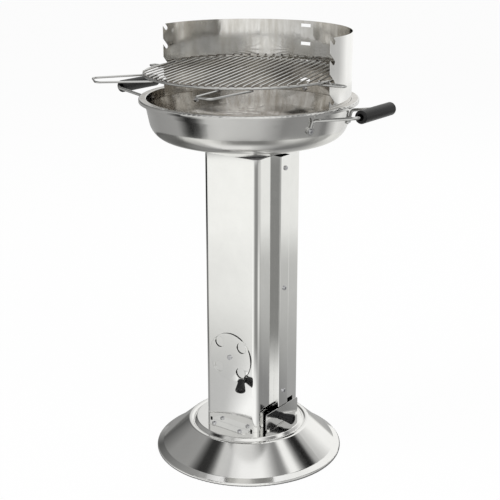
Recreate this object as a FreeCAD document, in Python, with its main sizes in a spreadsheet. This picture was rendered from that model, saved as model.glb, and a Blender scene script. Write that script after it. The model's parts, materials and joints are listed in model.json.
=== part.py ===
import FreeCAD, Part
import math
import os
import re

import Sketcher
from FreeCAD import Placement, Rotation, Vector

# Pedestal charcoal grill: a pressed foot, a square sheet column, a round bowl with a
# wind shield, a lift-off cooking grate, an ash drawer and an air disc.
# +Z is up, the air disc faces -Y and the ash drawer pulls out towards +X. Everything is
# drawn round the column's axis, and then moved back a little, because the front loop of the
# grate reaches further than the bowl: the origin lies on the floor under the middle of the
# whole grill. All lengths are in millimetres.

# How many of each there are
AIR_HOLES = 4
BOWL_BOLTS = 4
NOTCH_LEVELS = 4

# The grate hangs in this notch, counted from the lowest one
GRATE_NOTCH = 2

# How far a cutting tool stands out of what it cuts, on each side
PAST = 1

# Driving sizes: name, value, what it measures
SIZES = [
    ("foot_radius", 159.5, "outside radius of the foot at the floor"),
    ("foot_sheet", 1.0, "sheet of the foot"),
    ("foot_hem", 8, "flat turned in under the foot's rim"),
    ("foot_rim_width", 11, "width of the rounded rim"),
    ("foot_rim_height", 10, "height of the rounded rim"),
    ("foot_rim_edge", 4.5, "height of the rim's upright edge"),
    ("foot_rim_bend", 3, "bends of the rim"),
    ("foot_hem_bend", 1.6, "bend between the rim and its hem"),
    ("shoulder_bend", 4, "bend at the foot's shoulder"),
    ("groove_half_width", 3.5, "half the width of the groove at the shoulder"),
    ("groove_bend", 2, "bends of the groove"),
    ("shoulder_radius", 103.5, "radius where the foot's cone ends"),
    ("shoulder_height", 50, "height where the foot's cone ends"),
    ("groove_inset", 8.5, "distance from the shoulder in to the groove"),
    ("groove_depth", 2.5, "depth of that groove under the shoulder"),
    ("plate_inset", 5, "distance from the groove in to the flat top"),
    ("plate_rise", 3, "height of the flat top above the shoulder"),
    ("column_width", 108.5, "width of the column across its front"),
    ("column_depth", 120, "depth of the column from front to rear"),
    ("column_set_back", 8.8, "the column's middle stands this far behind the bowl's"),
    ("column_corner", 10, "outside radius of the column's front corners"),
    ("shell_corner", 3, "outside radius of its rear corners"),
    ("column_sheet", 0.8, "sheet of the column"),
    ("column_height", 469, "height of the column between foot and bowl"),
    ("cover_return", 18, "how far the front cover wraps round the sides"),
    ("shell_lap", 4.5, "how far the rear shell reaches under the front cover"),
    ("lap_gap", 0.05, "gap between lapped sheets and in bolt holes"),
    ("tab_inset", 4, "the tabs that hold the column down end this far before its corners"),
    ("tab_depth", 17, "depth of the front tab"),
    ("rear_tab_depth", 11.5, "depth of the rear tab"),
    ("tab_chamfer", 4, "cut corner of those tabs"),
    ("tab_notch", 4, "relief notch at each end of a tab"),
    ("tab_screw_spacing", 54, "distance between the two screws of a tab"),
    ("tab_screw_reach", 11.5, "distance of the front tab's screws from the column"),
    ("rear_screw_reach", 6.3, "distance of the rear tab's screws from the column"),
    ("strip_width", 26.5, "width of a side strip"),
    ("strip_depth", 10.8, "how far a side strip stands out of the rear shell"),
    ("strip_bend", 2, "bends of a side strip"),
    ("strip_drawer_gap", 1.5, "gap between the right side strip and the drawer's front"),
    ("strip_offset", 3.2, "side strips sit this far behind the column's middle"),
    ("strip_top_gap", 2, "side strips end this far under the bowl"),
    ("strip_screw_rise", 59, "height of the lowest strip screw above the foot"),
    ("strip_screw_step", 185, "distance from that screw up to the middle one"),
    ("strip_screw_drop", 22, "the highest strip screw sits this far under the bowl"),
    ("top_plate_sheet", 1.2, "sheet of the plate that carries the bowl"),
    ("top_plate_flange", 14, "depth of that plate's turned down edge"),
    ("top_plate_hole", 32, "radius of the hole in that plate"),
    ("disc_radius", 42, "radius of the air disc"),
    ("disc_sheet", 1.0, "sheet of the air disc"),
    ("disc_rise", 126, "height of the air disc's centre above the foot"),
    ("disc_gap", 1.5, "thickness of the washer behind the air disc"),
    ("air_hole_radius", 9.5, "radius of each air hole"),
    ("air_hole_pitch", 32, "radius of the circle of air holes"),
    ("air_hole_angle", 43, "angle of the first air hole of the disc"),
    ("rivet_radius", 3, "radius of the air disc's rivet"),
    ("rivet_head_radius", 4.6, "radius of that rivet's heads"),
    ("rivet_head_height", 2.2, "height of that rivet's heads"),
    ("washer_radius", 7.5, "radius of the washer behind the air disc"),
    ("pivot_gap", 0.06, "running gap of the air disc and of the grips"),
    ("disc_tab_angle", -53, "direction of the disc's tab from +X"),
    ("disc_bend_angle", 46, "angle that the tab is bent out of the disc"),
    ("disc_tab_width", 11, "width of the disc's tab"),
    ("disc_tab_length", 16, "length of the disc's bent tab"),
    ("disc_tab_sink", 1.5, "how far that tab's root lies inside the disc"),
    ("disc_tab_grip", 11, "length of that tab inside its knob"),
    ("knob_neck_radius", 5.6, "radius of a knob at its neck"),
    ("knob_end_radius", 9, "radius of a knob at its end"),
    ("disc_knob_length", 20, "length of the air disc's knob"),
    ("drawer_knob_length", 25, "length of the drawer's knob"),
    ("knob_collar", 0.9, "how far a knob's collar stands out of its neck"),
    ("knob_collar_height", 2.5, "height of that collar"),
    ("knob_rounding", 1.6, "rounding of a knob's end"),
    ("knob_edge", 0.7, "rounding of a knob's collar"),
    ("knob_dimple_radius", 4.5, "radius of the hollow in a knob's end"),
    ("knob_dimple_depth", 1.2, "depth of that hollow"),
    ("knob_bore_depth", 15, "depth of the screw bore in the drawer's knob"),
    ("knob_bore_rest", 2, "the drawer's screw ends this far before that bore does"),
    ("drawer_front_width", 94, "width of the drawer's front"),
    ("drawer_front_height", 28, "height of the drawer's front"),
    ("drawer_front_lift", 3, "the drawer's front starts this far above the foot"),
    ("drawer_front_out", 10, "the drawer's front stands this far out of the column"),
    ("drawer_sheet", 0.8, "sheet of the drawer"),
    ("drawer_width", 72, "width of the drawer's tray"),
    ("drawer_wall", 26, "height of the tray's walls"),
    ("drawer_end_gap", 11.55, "the pulled tray's end stands this far from the column's wall"),
    ("drawer_gap", 0.4, "running gap under and beside the tray"),
    ("drawer_corner", 4, "rounding of the front's upper corners"),
    ("drawer_knob_rise", 11, "height of the knob above the front's lower edge"),
    ("drawer_knob_side", 4, "the knob sits this far before the middle of the front"),
    ("drawer_opening_width", 94, "width of the drawer opening"),
    ("drawer_opening_height", 31, "height of the drawer opening"),
    ("rail_end_gap", 6.35, "the drawer's rails end this far before the column's walls"),
    ("rail_height", 20, "height of the drawer's rails"),
    ("rail_foot", 14, "width of the rails' feet"),
    ("rail_sheet", 1.0, "sheet of the rails"),
    ("bowl_radius", 162.7, "inside radius of the bowl's upper wall"),
    ("bowl_rim_width", 12.3, "width of the bowl's flat rim"),
    ("bowl_depth", 88, "outside depth of the bowl"),
    ("bowl_sheet", 0.8, "sheet of the bowl"),
    ("bowl_collar", 15, "height of the bowl's upright collar"),
    ("bowl_edge_drop", 6, "how far the rim's edge is turned down"),
    ("bowl_side_inset", 8.7, "how far the side leans in down to where it would meet the bottom"),
    ("bowl_side_rise", 29.5, "rise of that corner above the bowl's floor"),
    ("bowl_bend", 33, "bend between the bowl's side and bottom"),
    ("bowl_rim_bend", 2.5, "bend at the rim's outer edge"),
    ("bowl_lip_bend", 1.5, "bend between rim and collar"),
    ("bowl_collar_bend", 6, "bend under the collar"),
    ("bowl_floor_bend", 10, "bend round the bowl's floor"),
    ("bowl_floor_radius", 52, "radius of the bowl's flat floor"),
    ("ash_hole", 30, "radius of the ash hole in the bowl's floor"),
    ("bowl_bolt_circle", 41, "radius of the circle of bowl bolts"),
    ("shield_height", 118, "height of the wind shield"),
    ("shield_sheet", 0.8, "sheet of the wind shield"),
    ("shield_gap", 0.2, "gap between wind shield and bowl"),
    ("shield_sink", 14, "how far the wind shield reaches into the bowl"),
    ("shield_span", 192, "angle that the wind shield spans"),
    ("notch_width", 7, "width of the slanted notches"),
    ("notch_reach", 9, "distance of a notch's tip from the shield's end"),
    ("notch_rise", 7, "height of the lowest notch's tip above the bowl's rim"),
    ("notch_top_gap", 7, "the highest notch's tip sits this far under the shield's top"),
    ("rear_slot_width", 19, "width of the rear slots"),
    ("rear_slot_height", 5.3, "height of the rear slots"),
    ("shield_screw_drop", 9.5, "shield screws sit this far under the rim"),
    ("shield_screw_angle", 47, "angle between shield screws"),
    ("handle_wire", 2.5, "radius of the bowl handles' wire"),
    ("handle_spread", 54, "half the distance between a handle's legs"),
    ("handle_out", 57, "distance of a handle's grip from the bowl's rim"),
    ("handle_drop", 1, "how far a handle's grip sits under the rim's top"),
    ("handle_elbow_inset", 4.7, "a leg's lower bend sits this far inside the bowl's wall radius"),
    ("handle_elbow_drop", 12, "that bend sits this far under the grip"),
    ("handle_bend", 8, "bend radius of the handle's wire"),
    ("handle_gap", 0.3, "gap between handle and bowl wall"),
    ("eyelet_drop", 29, "the eyelets sit this far under the bowl's rim"),
    ("eyelet_radius", 6.5, "radius of a flattened eyelet"),
    ("eyelet_thickness", 3, "thickness of a flattened eyelet"),
    ("grip_radius", 10, "radius of the handle's sleeve"),
    ("grip_end_gap", 2, "the handle's sleeve ends this far before the wire's bends"),
    ("grip_mouth_radius", 5.5, "radius of the hollow at the sleeve's ends"),
    ("grip_mouth_depth", 7, "depth of that hollow"),
    ("grip_rounding", 2, "rounding of the sleeve's ends"),
    ("grate_clearance", 6.7, "the cooking grate's ring is this much smaller than the bowl's wall"),
    ("grate_wire", 2, "wire radius of that ring"),
    ("grate_bar", 1.3, "radius of the cooking grate's bars"),
    ("grate_bar_pitch", 11, "distance between those bars"),
    ("grate_bar_angle", 16, "angle that those bars are turned from the front"),
    ("grate_forward", 12, "the cooking grate sits this far to the front"),
    ("grate_left", 2, "the cooking grate sits this far to the left"),
    ("weld_gap", 0.05, "gap between welded wires"),
    ("ear_wire", 1.6, "wire radius of the grate's ears, hook and loops"),
    ("ear_out", 25.5, "how far the ears stand out of the shield"),
    ("ear_root", 20, "width of an ear at the ring"),
    ("ear_tip", 9, "width of an ear at its tip"),
    ("hook_width", 12, "width of the rear hook"),
    ("hook_nose", 1.7, "how far the rear hook reaches into the shield"),
    ("weld_lap", 7, "length of wire that lies under the ring"),
    ("left_loop_angle", -130.5, "direction of the left loop handle"),
    ("left_loop_root", 68, "width of that loop at the ring"),
    ("left_loop_tip", 44, "width of that loop at its tip"),
    ("left_loop_length", 78, "length of that loop"),
    ("front_loop_side", 80, "the front loop sits this far to the right"),
    ("front_loop_root", 40, "width of that loop at the ring"),
    ("front_loop_tip", 30, "width of that loop at its tip"),
    ("front_loop_length", 77, "length of that loop"),
    ("loop_bend", 9, "bend radius at the loops' tips"),
    ("fire_radius", 100, "radius of the fire grate's ring"),
    ("fire_wire", 2.5, "wire radius of that ring"),
    ("fire_bar", 2, "radius of the fire grate's bars"),
    ("fire_bar_pitch", 12, "distance between those bars"),
    ("seat_gap", 0.3, "gap between a grate and what it rests on"),
    ("screw_radius", 2, "radius of every machine screw"),
    ("screw_head_radius", 3.9, "radius of a screw's head"),
    ("screw_head_height", 2.4, "height of a screw's head"),
    ("screw_head_rounding", 1.1, "rounding of a screw's head"),
    ("recess_width", 1.0, "width of the cross recess"),
    ("recess_length", 4.2, "length of the cross recess"),
    ("recess_depth", 1.3, "depth of the cross recess"),
    ("nut_radius", 4.0, "corner radius of a nut"),
    ("nut_height", 3.0, "height of a nut"),
    ("thread_gap", 0.05, "gap between a screw and its hole or nut"),
    ("curve_gap", 0.1, "gap under a flat face that sits on curved sheet"),
    ("screw_tail", 2.5, "how far a screw stands out of its nut"),
    ("bowl_screw_tail", 1.5, "the same for the screws in the bowl's side"),
]

# Sizes that follow from the driving ones
RULES = {
    "groove_radius": "shoulder_radius - groove_inset",
    "plate_radius": "groove_radius - plate_inset",
    "plate_height": "shoulder_height + plate_rise",
    "column_half": "column_width / 2",
    "column_front": "column_depth / 2 - column_set_back",
    "column_rear": "column_depth / 2 + column_set_back",
    "strip_middle": "column_set_back + strip_offset",
    "knob_side": "column_set_back - drawer_knob_side",
    "shell_half": "column_half - column_sheet - lap_gap",
    "column_top": "plate_height + column_height",
    "rim_top": "column_top + bowl_depth",
    "tab_half": "column_half - column_corner - tab_inset",
    "wall_inside": "shell_half - column_sheet",
    "strip_face": "shell_half + strip_depth",
    "disc_height": "plate_height + disc_rise",
    "drawer_front_low": "plate_height + drawer_front_lift",
    "drawer_front_top": "drawer_front_low + drawer_front_height",
    "drawer_face": "column_half + drawer_front_out",
    "drawer_back": "drawer_face - drawer_sheet",
    "drawer_floor": "plate_height + drawer_gap",
    "tray_end": "drawer_end_gap - wall_inside",
    "rail_half": "wall_inside - rail_end_gap",
    "rail_side": "drawer_width / 2 + drawer_gap",
    "floor_top": "column_top + bowl_sheet",
    "bowl_rim_radius": "bowl_radius + bowl_rim_width",
    "bowl_side_radius": "bowl_radius - bowl_side_inset",
    "corner_height": "floor_top + bowl_side_rise",
    "collar_foot": "rim_top - bowl_collar",
    "wall_lean": "atan((bowl_radius - bowl_side_radius) / (collar_foot - corner_height))",
    "floor_lean": "atan(bowl_side_rise / (bowl_side_radius - bowl_floor_radius))",
    "shield_outer": "bowl_radius - shield_gap",
    "shield_inner": "shield_outer - shield_sheet",
    "shield_foot": "rim_top - shield_sink",
    "eyelet_height": "rim_top - eyelet_drop",
    "shield_end": "90 - shield_span / 2",
    "notch_angle": "shield_end + notch_reach / shield_outer * 180 / pi",
    "notch_first": "rim_top + notch_rise",
    "notch_last": "shield_foot + shield_height - notch_top_gap",
    "notch_pitch": "(notch_last - notch_first) / %d" % (NOTCH_LEVELS - 1),
    "handle_height": "rim_top - handle_drop",
    "handle_reach": "bowl_rim_radius + handle_out",
    "handle_elbow": "bowl_radius - handle_elbow_inset",
    "grip_half": "handle_spread - handle_bend - grip_end_gap",
    "grate_radius": "bowl_radius - grate_clearance",
    "grate_seat": "notch_first + %d * notch_pitch - notch_width / 2" % (GRATE_NOTCH - 1),
    "ear_reach": "shield_outer + ear_out",
    "front_loop_across": "front_loop_side + grate_left",
    "front_loop_ring": "sqrt(grate_radius * grate_radius - front_loop_across * front_loop_across)",
    "front_loop_end": "front_loop_ring - weld_lap / 2 + front_loop_length",
    "axis_shift": "(grate_forward + front_loop_end + ear_wire - bowl_rim_radius) / 2",
    "ear_height": "grate_seat + seat_gap + ear_wire",
    "grate_height": "ear_height + ear_wire + weld_gap + grate_wire",
    "fire_slope": "(fire_radius - bowl_floor_radius) * tan(floor_lean)",
    "fire_height": "floor_top + fire_slope + (fire_wire + seat_gap) / cos(floor_lean)",
}

NAMES = {name for name, value, meaning in SIZES}


def formula(text):
    """Write a formula on sizes and rules as an expression on the sheet's cells."""
    def expand(match):
        word = match.group()
        if word in RULES:
            return "(" + formula(RULES[word]) + ")"
        return "Sizes." + word if word in NAMES else word
    return re.sub(r"[a-z][a-z_]*", expand, str(text))


def number(text):
    """Work out a formula as a plain number."""
    result = sheet.evalExpression(formula(text))
    return float(getattr(result, "Value", result))


# Drawing helpers: every one of them binds what it makes to the sheet

document = FreeCAD.newDocument("charcoal_grill")
sheet = document.addObject("Spreadsheet::Sheet", "Sizes")
for row, (name, value, meaning) in enumerate(SIZES, start=1):
    sheet.set("A%d" % row, meaning)
    sheet.set("B%d" % row, str(value))
    sheet.setAlias("B%d" % row, name)
document.recompute()

pieces = []


def piece(item, name):
    """Keep an object as a finished sub-part: its own name, and its place from the origin."""
    item.Label = name
    rules = {path.lstrip("."): rule for path, rule in item.ExpressionEngine}
    own = rules.get("Placement.Base.y", "0")
    item.setExpression("Placement.Base.y", "%s + %s" % (own, formula("axis_shift")))
    pieces.append(item)
    return item


def place(item, corner, turn=Rotation()):
    """Turn an object and bind its place to three formulas."""
    item.Placement = Placement(Vector(), turn)
    for axis, text in zip("xyz", corner):
        item.setExpression("Placement.Base." + axis, formula(text))
    return item


def along(axis):
    """The turn that brings +Z onto an axis."""
    return Rotation(Vector(0, 0, 1), Vector(*axis))


def box(name, corner, lengths):
    """A box from its lowest corner and its three lengths."""
    item = document.addObject("Part::Box", name)
    for side, text in zip(("Length", "Width", "Height"), lengths):
        item.setExpression(side, formula(text))
    return place(item, corner)


def rod(name, start, axis, radius, length):
    """A round rod from its start, its direction, its radius and its length."""
    item = document.addObject("Part::Cylinder", name)
    item.setExpression("Radius", formula(radius))
    item.setExpression("Height", formula(length))
    return place(item, start, along(axis))


def group(name, members):
    """Several separate solids as one object."""
    item = document.addObject("Part::Compound", name)
    item.Links = members
    return item


def cut(base, *tools):
    """A base with tools taken out of it."""
    item = document.addObject("Part::Cut", base.Name + "_cut")
    item.Base = base
    item.Tool = tools[0] if len(tools) == 1 else group(base.Name + "_tools", list(tools))
    return item


def fuse(*members):
    """Solids joined into one."""
    item = document.addObject("Part::MultiFuse", members[0].Name + "_fused")
    item.Shapes = list(members)
    item.Refine = True
    return item


def outline(sketch, corners, closed=True):
    """Draw lines through (x, y) corners, rounded where a corner has a third value."""
    count = len(corners)
    spots = [Vector(number(corner[0]), number(corner[1]), 0) for corner in corners]
    lines = count if closed else count - 1
    for index in range(lines):
        sketch.addGeometry(Part.LineSegment(spots[index], spots[(index + 1) % count]))
    for index in range(lines - 1):
        sketch.addConstraint(Sketcher.Constraint("Coincident", index, 2, index + 1, 1))
    if closed:
        sketch.addConstraint(Sketcher.Constraint("Coincident", lines - 1, 2, 0, 1))
    bound = {}
    for index, corner in enumerate(corners):
        line, end = (index, 1) if index < lines else (index - 1, 2)
        for kind, text, value in zip("XY", corner, spots[index]):
            rule = Sketcher.Constraint("Distance" + kind, -1, 1, line, end, value)
            label = "corner_%s_%d" % (kind.lower(), index)
            sketch.renameConstraint(sketch.addConstraint(rule), label)
            bound[label] = text
    for index, corner in enumerate(corners):
        if len(corner) == 3:
            sketch.fillet((index - 1) % count, 2, number(corner[2]), True, True)
            arc = sketch.GeometryCount - 2
            rule = Sketcher.Constraint("Radius", arc, number(corner[2]))
            label = "bend_%d" % index
            sketch.renameConstraint(sketch.addConstraint(rule), label)
            bound[label] = corner[2]
    for label, text in bound.items():
        sketch.setExpression("Constraints." + label, formula(text))
    return sketch


def sheet_section(name, corners, thickness, upright):
    """The cut face of bent sheet, which lies to the left of the line it follows."""
    line = document.addObject("Sketcher::SketchObject", name + "_line")
    if upright:
        line.Placement = Placement(Vector(), Rotation(Vector(1, 0, 0), 90))
    outline(line, corners, closed=False)
    face = document.addObject("Part::Offset2D", name + "_section")
    face.Source = line
    face.setExpression("Value", formula(thickness if upright else "-(%s)" % thickness))
    face.Mode = "Skin"
    face.Join = "Intersection"
    face.Fill = True
    return face


def spun_sheet(name, corners, thickness):
    """Sheet pressed round the Z axis, from its line in (radius, height)."""
    item = document.addObject("Part::Revolution", name)
    item.Source = sheet_section(name, corners, thickness, upright=True)
    item.Axis = Vector(0, 0, 1)
    item.Angle = 360
    item.Solid = True
    return item


def upright_sheet(name, corners, thickness, low, top):
    """Bent sheet that stands upright, from its line seen from above."""
    item = document.addObject("Part::Extrusion", name)
    item.Base = sheet_section(name, corners, thickness, upright=False)
    item.DirMode = "Custom"
    item.Dir = Vector(0, 0, 1)
    item.Solid = True
    item.setExpression("LengthFwd", formula("(%s) - (%s)" % (top, low)))
    return place(item, (0, 0, low))


def body_sketch(body, name, plane):
    """A sketch on one of a body's own origin planes."""
    sketch = body.newObject("Sketcher::SketchObject", name)
    support = [item for item in body.Origin.OriginFeatures if item.Role == plane][0]
    sketch.AttachmentSupport = [(support, "")]
    sketch.MapMode = "FlatFace"
    return sketch


def turned(name, corners):
    """A body turned about its own Z axis, from half its outline in (radius, height)."""
    body = document.addObject("PartDesign::Body", name)
    sketch = outline(body_sketch(body, name + "_outline", "XZ_Plane"), corners)
    turning = body.newObject("PartDesign::Revolution", name + "_turning")
    turning.Profile = sketch
    turning.ReferenceAxis = (sketch, ["V_Axis"])
    turning.Angle = 360
    return body


def padded(name, corners, thickness, plane="XY_Plane"):
    """A body padded from a closed outline on one of its planes."""
    body = document.addObject("PartDesign::Body", name)
    sketch = outline(body_sketch(body, name + "_outline", plane), corners)
    pad = body.newObject("PartDesign::Pad", name + "_pad")
    pad.Profile = sketch
    pad.setExpression("Length", formula(thickness))
    return body


def pocket(body, name, sketch, depth, reverse):
    """Cut a sketch into a body and make sure that something was cut."""
    document.recompute()
    before = body.Shape.Volume
    feature = body.newObject("PartDesign::Pocket", name)
    feature.Profile = sketch
    feature.setExpression("Length", formula(depth))
    feature.Reversed = reverse
    document.recompute()
    assert body.Shape.Volume < before, name + " cuts nothing"
    return feature


def rectangle(half_x, half_y, bend):
    """The corners of a rounded rectangle round the origin."""
    left, right = "-(%s)" % half_x, half_x
    near, far = "-(%s)" % half_y, half_y
    return [(left, near, bend), (right, near, bend), (right, far, bend), (left, far, bend)]


def circle(sketch, centre, radius):
    """Draw a circle whose centre and radius are formulas."""
    middle = Vector(number(centre[0]), number(centre[1]), 0)
    ring = sketch.addGeometry(Part.Circle(middle, Vector(0, 0, 1), number(radius)))
    rules = [("Radius", (ring, number(radius)), radius)]
    rules.append(("DistanceX", (-1, 1, ring, 3, middle.x), centre[0]))
    rules.append(("DistanceY", (-1, 1, ring, 3, middle.y), centre[1]))
    for kind, values, text in rules:
        label = "%s_%d" % (kind.lower(), ring)
        sketch.renameConstraint(sketch.addConstraint(Sketcher.Constraint(kind, *values)), label)
        sketch.setExpression("Constraints." + label, formula(text))
    return sketch


def bent_wire(name, points, bend, radius):
    """Round wire along straight runs that are joined by bends of one radius."""
    edges = []
    start = points[0]
    for before, corner, after in zip(points, points[1:], points[2:]):
        inward = (before - corner).normalize()
        outward = (after - corner).normalize()
        half = inward.getAngle(outward) / 2
        reach = bend / math.tan(half)
        entry = corner + inward * reach
        leave = corner + outward * reach
        middle_line = (inward + outward).normalize()
        top = corner + middle_line * (bend / math.sin(half) - bend)
        edges.append(Part.LineSegment(start, entry).toShape())
        edges.append(Part.Arc(entry, top, leave).toShape())
        start = leave
    edges.append(Part.LineSegment(start, points[-1]).toShape())
    path = Part.Wire(edges)
    section = Part.Wire(Part.Circle(points[0], points[1] - points[0], radius).toShape())
    item = document.addObject("Part::Feature", name)
    item.Shape = path.makePipeShell([section], True, False)
    return item


def copies(name, master, places):
    """One fastener set several times, as separate solids in one sub-part."""
    document.recompute()
    item = document.addObject("Part::Feature", name)
    solids = []
    for spot in places:
        solid = master.Shape.copy()
        solid.Placement = spot.multiply(master.Shape.Placement)
        solids.append(solid)
    item.Shape = Part.makeCompound(solids)
    return piece(item, name)


def spot(x, y, z, axis):
    """A place whose own +Z points along an axis."""
    return Placement(Vector(x, y, z), along(axis))


def polar(radius, angle, height):
    """A point from its radius, its angle in degrees from +X and its height."""
    turn = math.radians(angle)
    return Vector(radius * math.cos(turn), radius * math.sin(turn), height)


# Fasteners that are used all over the grill

def make_screw(name, length):
    """A pan head screw whose head sits on the XY plane, with a cross recess."""
    screw = turned(name, [
        (0, "-(%s)" % length),
        ("screw_radius", "-(%s)" % length),
        ("screw_radius", 0),
        ("screw_head_radius", 0),
        ("screw_head_radius", "screw_head_height", "screw_head_rounding"),
        (0, "screw_head_height"),
    ])
    arm = "recess_length / 2"
    edge = "recess_width / 2"
    cross = [(arm, edge), (edge, edge), (edge, arm), ("-" + edge, arm), ("-" + edge, edge),
             ("-" + arm, edge), ("-" + arm, "-" + edge), ("-" + edge, "-" + edge),
             ("-" + edge, "-" + arm), (edge, "-" + arm), (edge, "-" + edge), (arm, "-" + edge)]
    sketch = body_sketch(screw, name + "_cross", "XY_Plane")
    sketch.setExpression("AttachmentOffset.Base.z", formula("screw_head_height"))
    outline(sketch, cross)
    pocket(screw, name + "_recess", sketch, "recess_depth", reverse=False)
    return screw


def screw_hole(name, point, axis, thickness):
    """The hole that a screw needs, from a point on the near face of what it goes through."""
    start = ["(%s) - %s" % (text, PAST * part) for text, part in zip(point, axis)]
    length = "(%s) + %s" % (thickness, 2 * PAST)
    return rod(name, start, axis, "screw_radius + thread_gap", length)


def make_nut(name):
    """A hexagon nut that stands on the XY plane."""
    blank = document.addObject("Part::Prism", name)
    blank.Polygon = 6
    blank.setExpression("Circumradius", formula("nut_radius"))
    blank.setExpression("Height", formula("nut_height"))
    return cut(blank, screw_hole(name + "_bore", (0, 0, 0), (0, 0, 1), "nut_height"))


nut = make_nut("nut")


# Foot

def foot_screw_spots():
    """The four places where the column's tabs are screwed to the foot."""
    half = "tab_screw_spacing / 2"
    rows = ("-(column_front + tab_screw_reach)", "column_rear + rear_screw_reach")
    return [(side + half, row) for row in rows for side in ("-", "")]


def make_foot():
    """The pressed foot: a rolled rim, a cone, a groove and a flat top."""
    blank = spun_sheet("foot_blank", [
        ("foot_radius - foot_hem", 0),
        ("foot_radius", 0, "foot_hem_bend"),
        ("foot_radius", "foot_rim_edge", "foot_rim_bend"),
        ("foot_radius - foot_rim_width", "foot_rim_height", "foot_rim_bend"),
        ("shoulder_radius", "shoulder_height", "shoulder_bend"),
        ("groove_radius + groove_half_width", "shoulder_height", "groove_bend"),
        ("groove_radius", "shoulder_height - groove_depth", "groove_bend"),
        ("plate_radius", "plate_height", "groove_bend"),
        (0, "plate_height"),
    ], "foot_sheet")
    holes = []
    for x, y in foot_screw_spots():
        under = "plate_height - foot_sheet"
        holes.append(screw_hole("foot_hole", (x, y, under), (0, 0, 1), "foot_sheet"))
    return piece(cut(blank, *holes), "foot")


make_foot()
tab_screw = make_screw("tab_screw", "column_sheet + foot_sheet + nut_height + screw_tail")
tab_places = []
tab_nut_places = []
for x, y in foot_screw_spots():
    tab_places.append(spot(number(x), number(y), number("plate_height + column_sheet"), (0, 0, 1)))
    under = number("plate_height - foot_sheet")
    tab_nut_places.append(spot(number(x), number(y), under, (0, 0, -1)))
copies("foot_screws", tab_screw, tab_places)
copies("foot_nuts", nut, tab_nut_places)


# Column

def column_tab(side):
    """The tab that is bent outwards at the bottom, and the tools for its notches and holes."""
    name, sign, face, depth, corner = "rear_tab", "", "column_rear", "rear_tab_depth", "shell_corner"
    if side < 0:
        name, sign, face, depth, corner = "front_tab", "-", "column_front", "tab_depth", "column_corner"
    half = "tab_half"
    root = "%s(%s - column_sheet)" % (sign, face)
    end = "%s(%s + %s)" % (sign, face, depth)
    shoulder = "%s(%s + %s - tab_chamfer)" % (sign, face, depth)
    tab = padded(name, [
        (half, root),
        (half, shoulder),
        ("tab_half - tab_chamfer", end),
        ("tab_chamfer - tab_half", end),
        ("-" + half, shoulder),
        ("-" + half, root),
    ], "column_sheet")
    place(tab, (0, 0, "plate_height"))
    tools = []
    start = "-%s - %s" % (face, PAST) if side < 0 else "%s - %s" % (face, corner)
    for x in (half, "-(%s) - tab_notch" % half):
        tools.append(box(name + "_notch", (x, start, "plate_height - %s" % PAST),
                         ("tab_notch", "%s + %s" % (corner, PAST), "tab_notch + %s" % PAST)))
    for x, y in foot_screw_spots():
        if number(y) * side > 0:
            tools.append(screw_hole(name + "_hole", (x, y, "plate_height"), (0, 0, 1), "column_sheet"))
    return tab, tools


def make_front_cover():
    """The front cover wraps round both front corners and carries the air holes."""
    edge = "cover_return - column_front"
    cover = upright_sheet("front_cover", [
        ("-column_half", edge),
        ("-column_half", "-column_front", "column_corner"),
        ("column_half", "-column_front", "column_corner"),
        ("column_half", edge),
    ], "column_sheet", "plate_height", "column_top")
    tab, tools = column_tab(-1)
    front = "-column_front - %s" % PAST
    depth = "column_sheet + %s" % (2 * PAST)
    tools.append(rod("rivet_hole", (0, front, "disc_height"), (0, 1, 0), "rivet_radius + lap_gap", depth))
    for index in range(AIR_HOLES):
        angle = "(air_hole_angle + %s)" % (360 / AIR_HOLES * (index + 0.5))
        x = "air_hole_pitch * cos(%s)" % angle
        z = "disc_height + air_hole_pitch * sin(%s)" % angle
        tools.append(rod("air_hole", (x, front, z), (0, 1, 0), "air_hole_radius", depth))
    return piece(cut(fuse(cover, tab), *tools), "column_front_cover")


def strip_screw_heights():
    """The heights of the three screws in each side strip."""
    low = "plate_height + strip_screw_rise"
    return [low, low + " + strip_screw_step", "column_top - strip_screw_drop"]


def make_rear_shell():
    """The rear shell: rear face and both sides, with the drawer opening on the right."""
    edge = "cover_return - column_front - shell_lap"
    shell = upright_sheet("rear_shell", [
        ("shell_half", edge),
        ("shell_half", "column_rear", "shell_corner"),
        ("-shell_half", "column_rear", "shell_corner"),
        ("-shell_half", edge),
    ], "column_sheet", "plate_height", "column_top")
    tab, tools = column_tab(1)
    side = "wall_inside - %s" % PAST
    low = "plate_height - %s" % PAST
    tools.append(box("drawer_opening", (side, "column_set_back - drawer_opening_width / 2", low),
                     ("column_sheet + %s" % (2 * PAST), "drawer_opening_width",
                      "drawer_opening_height + %s" % PAST)))
    for height in strip_screw_heights():
        point = ("-shell_half", "strip_middle", height)
        tools.append(screw_hole("strip_hole", point, (1, 0, 0), "2 * shell_half"))
    return piece(cut(fuse(shell, tab), *tools), "column_rear_shell")


def make_side_strip(name, side, low):
    """A channel that stiffens one side of the rear shell."""
    sign = "-" if side < 0 else ""
    front = "strip_middle - strip_width / 2"
    rear = "strip_middle + strip_width / 2"
    corners = [
        (sign + "shell_half", front),
        (sign + "strip_face", front, "strip_bend"),
        (sign + "strip_face", rear, "strip_bend"),
        (sign + "shell_half", rear),
    ]
    if side < 0:
        corners.reverse()
    channel = upright_sheet(name + "_blank", corners, "column_sheet", low, "column_top - strip_top_gap")
    holes = []
    for height in strip_screw_heights():
        point = (sign + "strip_face", "strip_middle", height)
        holes.append(screw_hole(name + "_hole", point, (-side, 0, 0), "column_sheet"))
    return piece(cut(channel, *holes), name)


make_front_cover()
make_rear_shell()
make_side_strip("side_strip_right", 1, "drawer_front_top + strip_drawer_gap")
make_side_strip("side_strip_left", -1, "plate_height")

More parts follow.
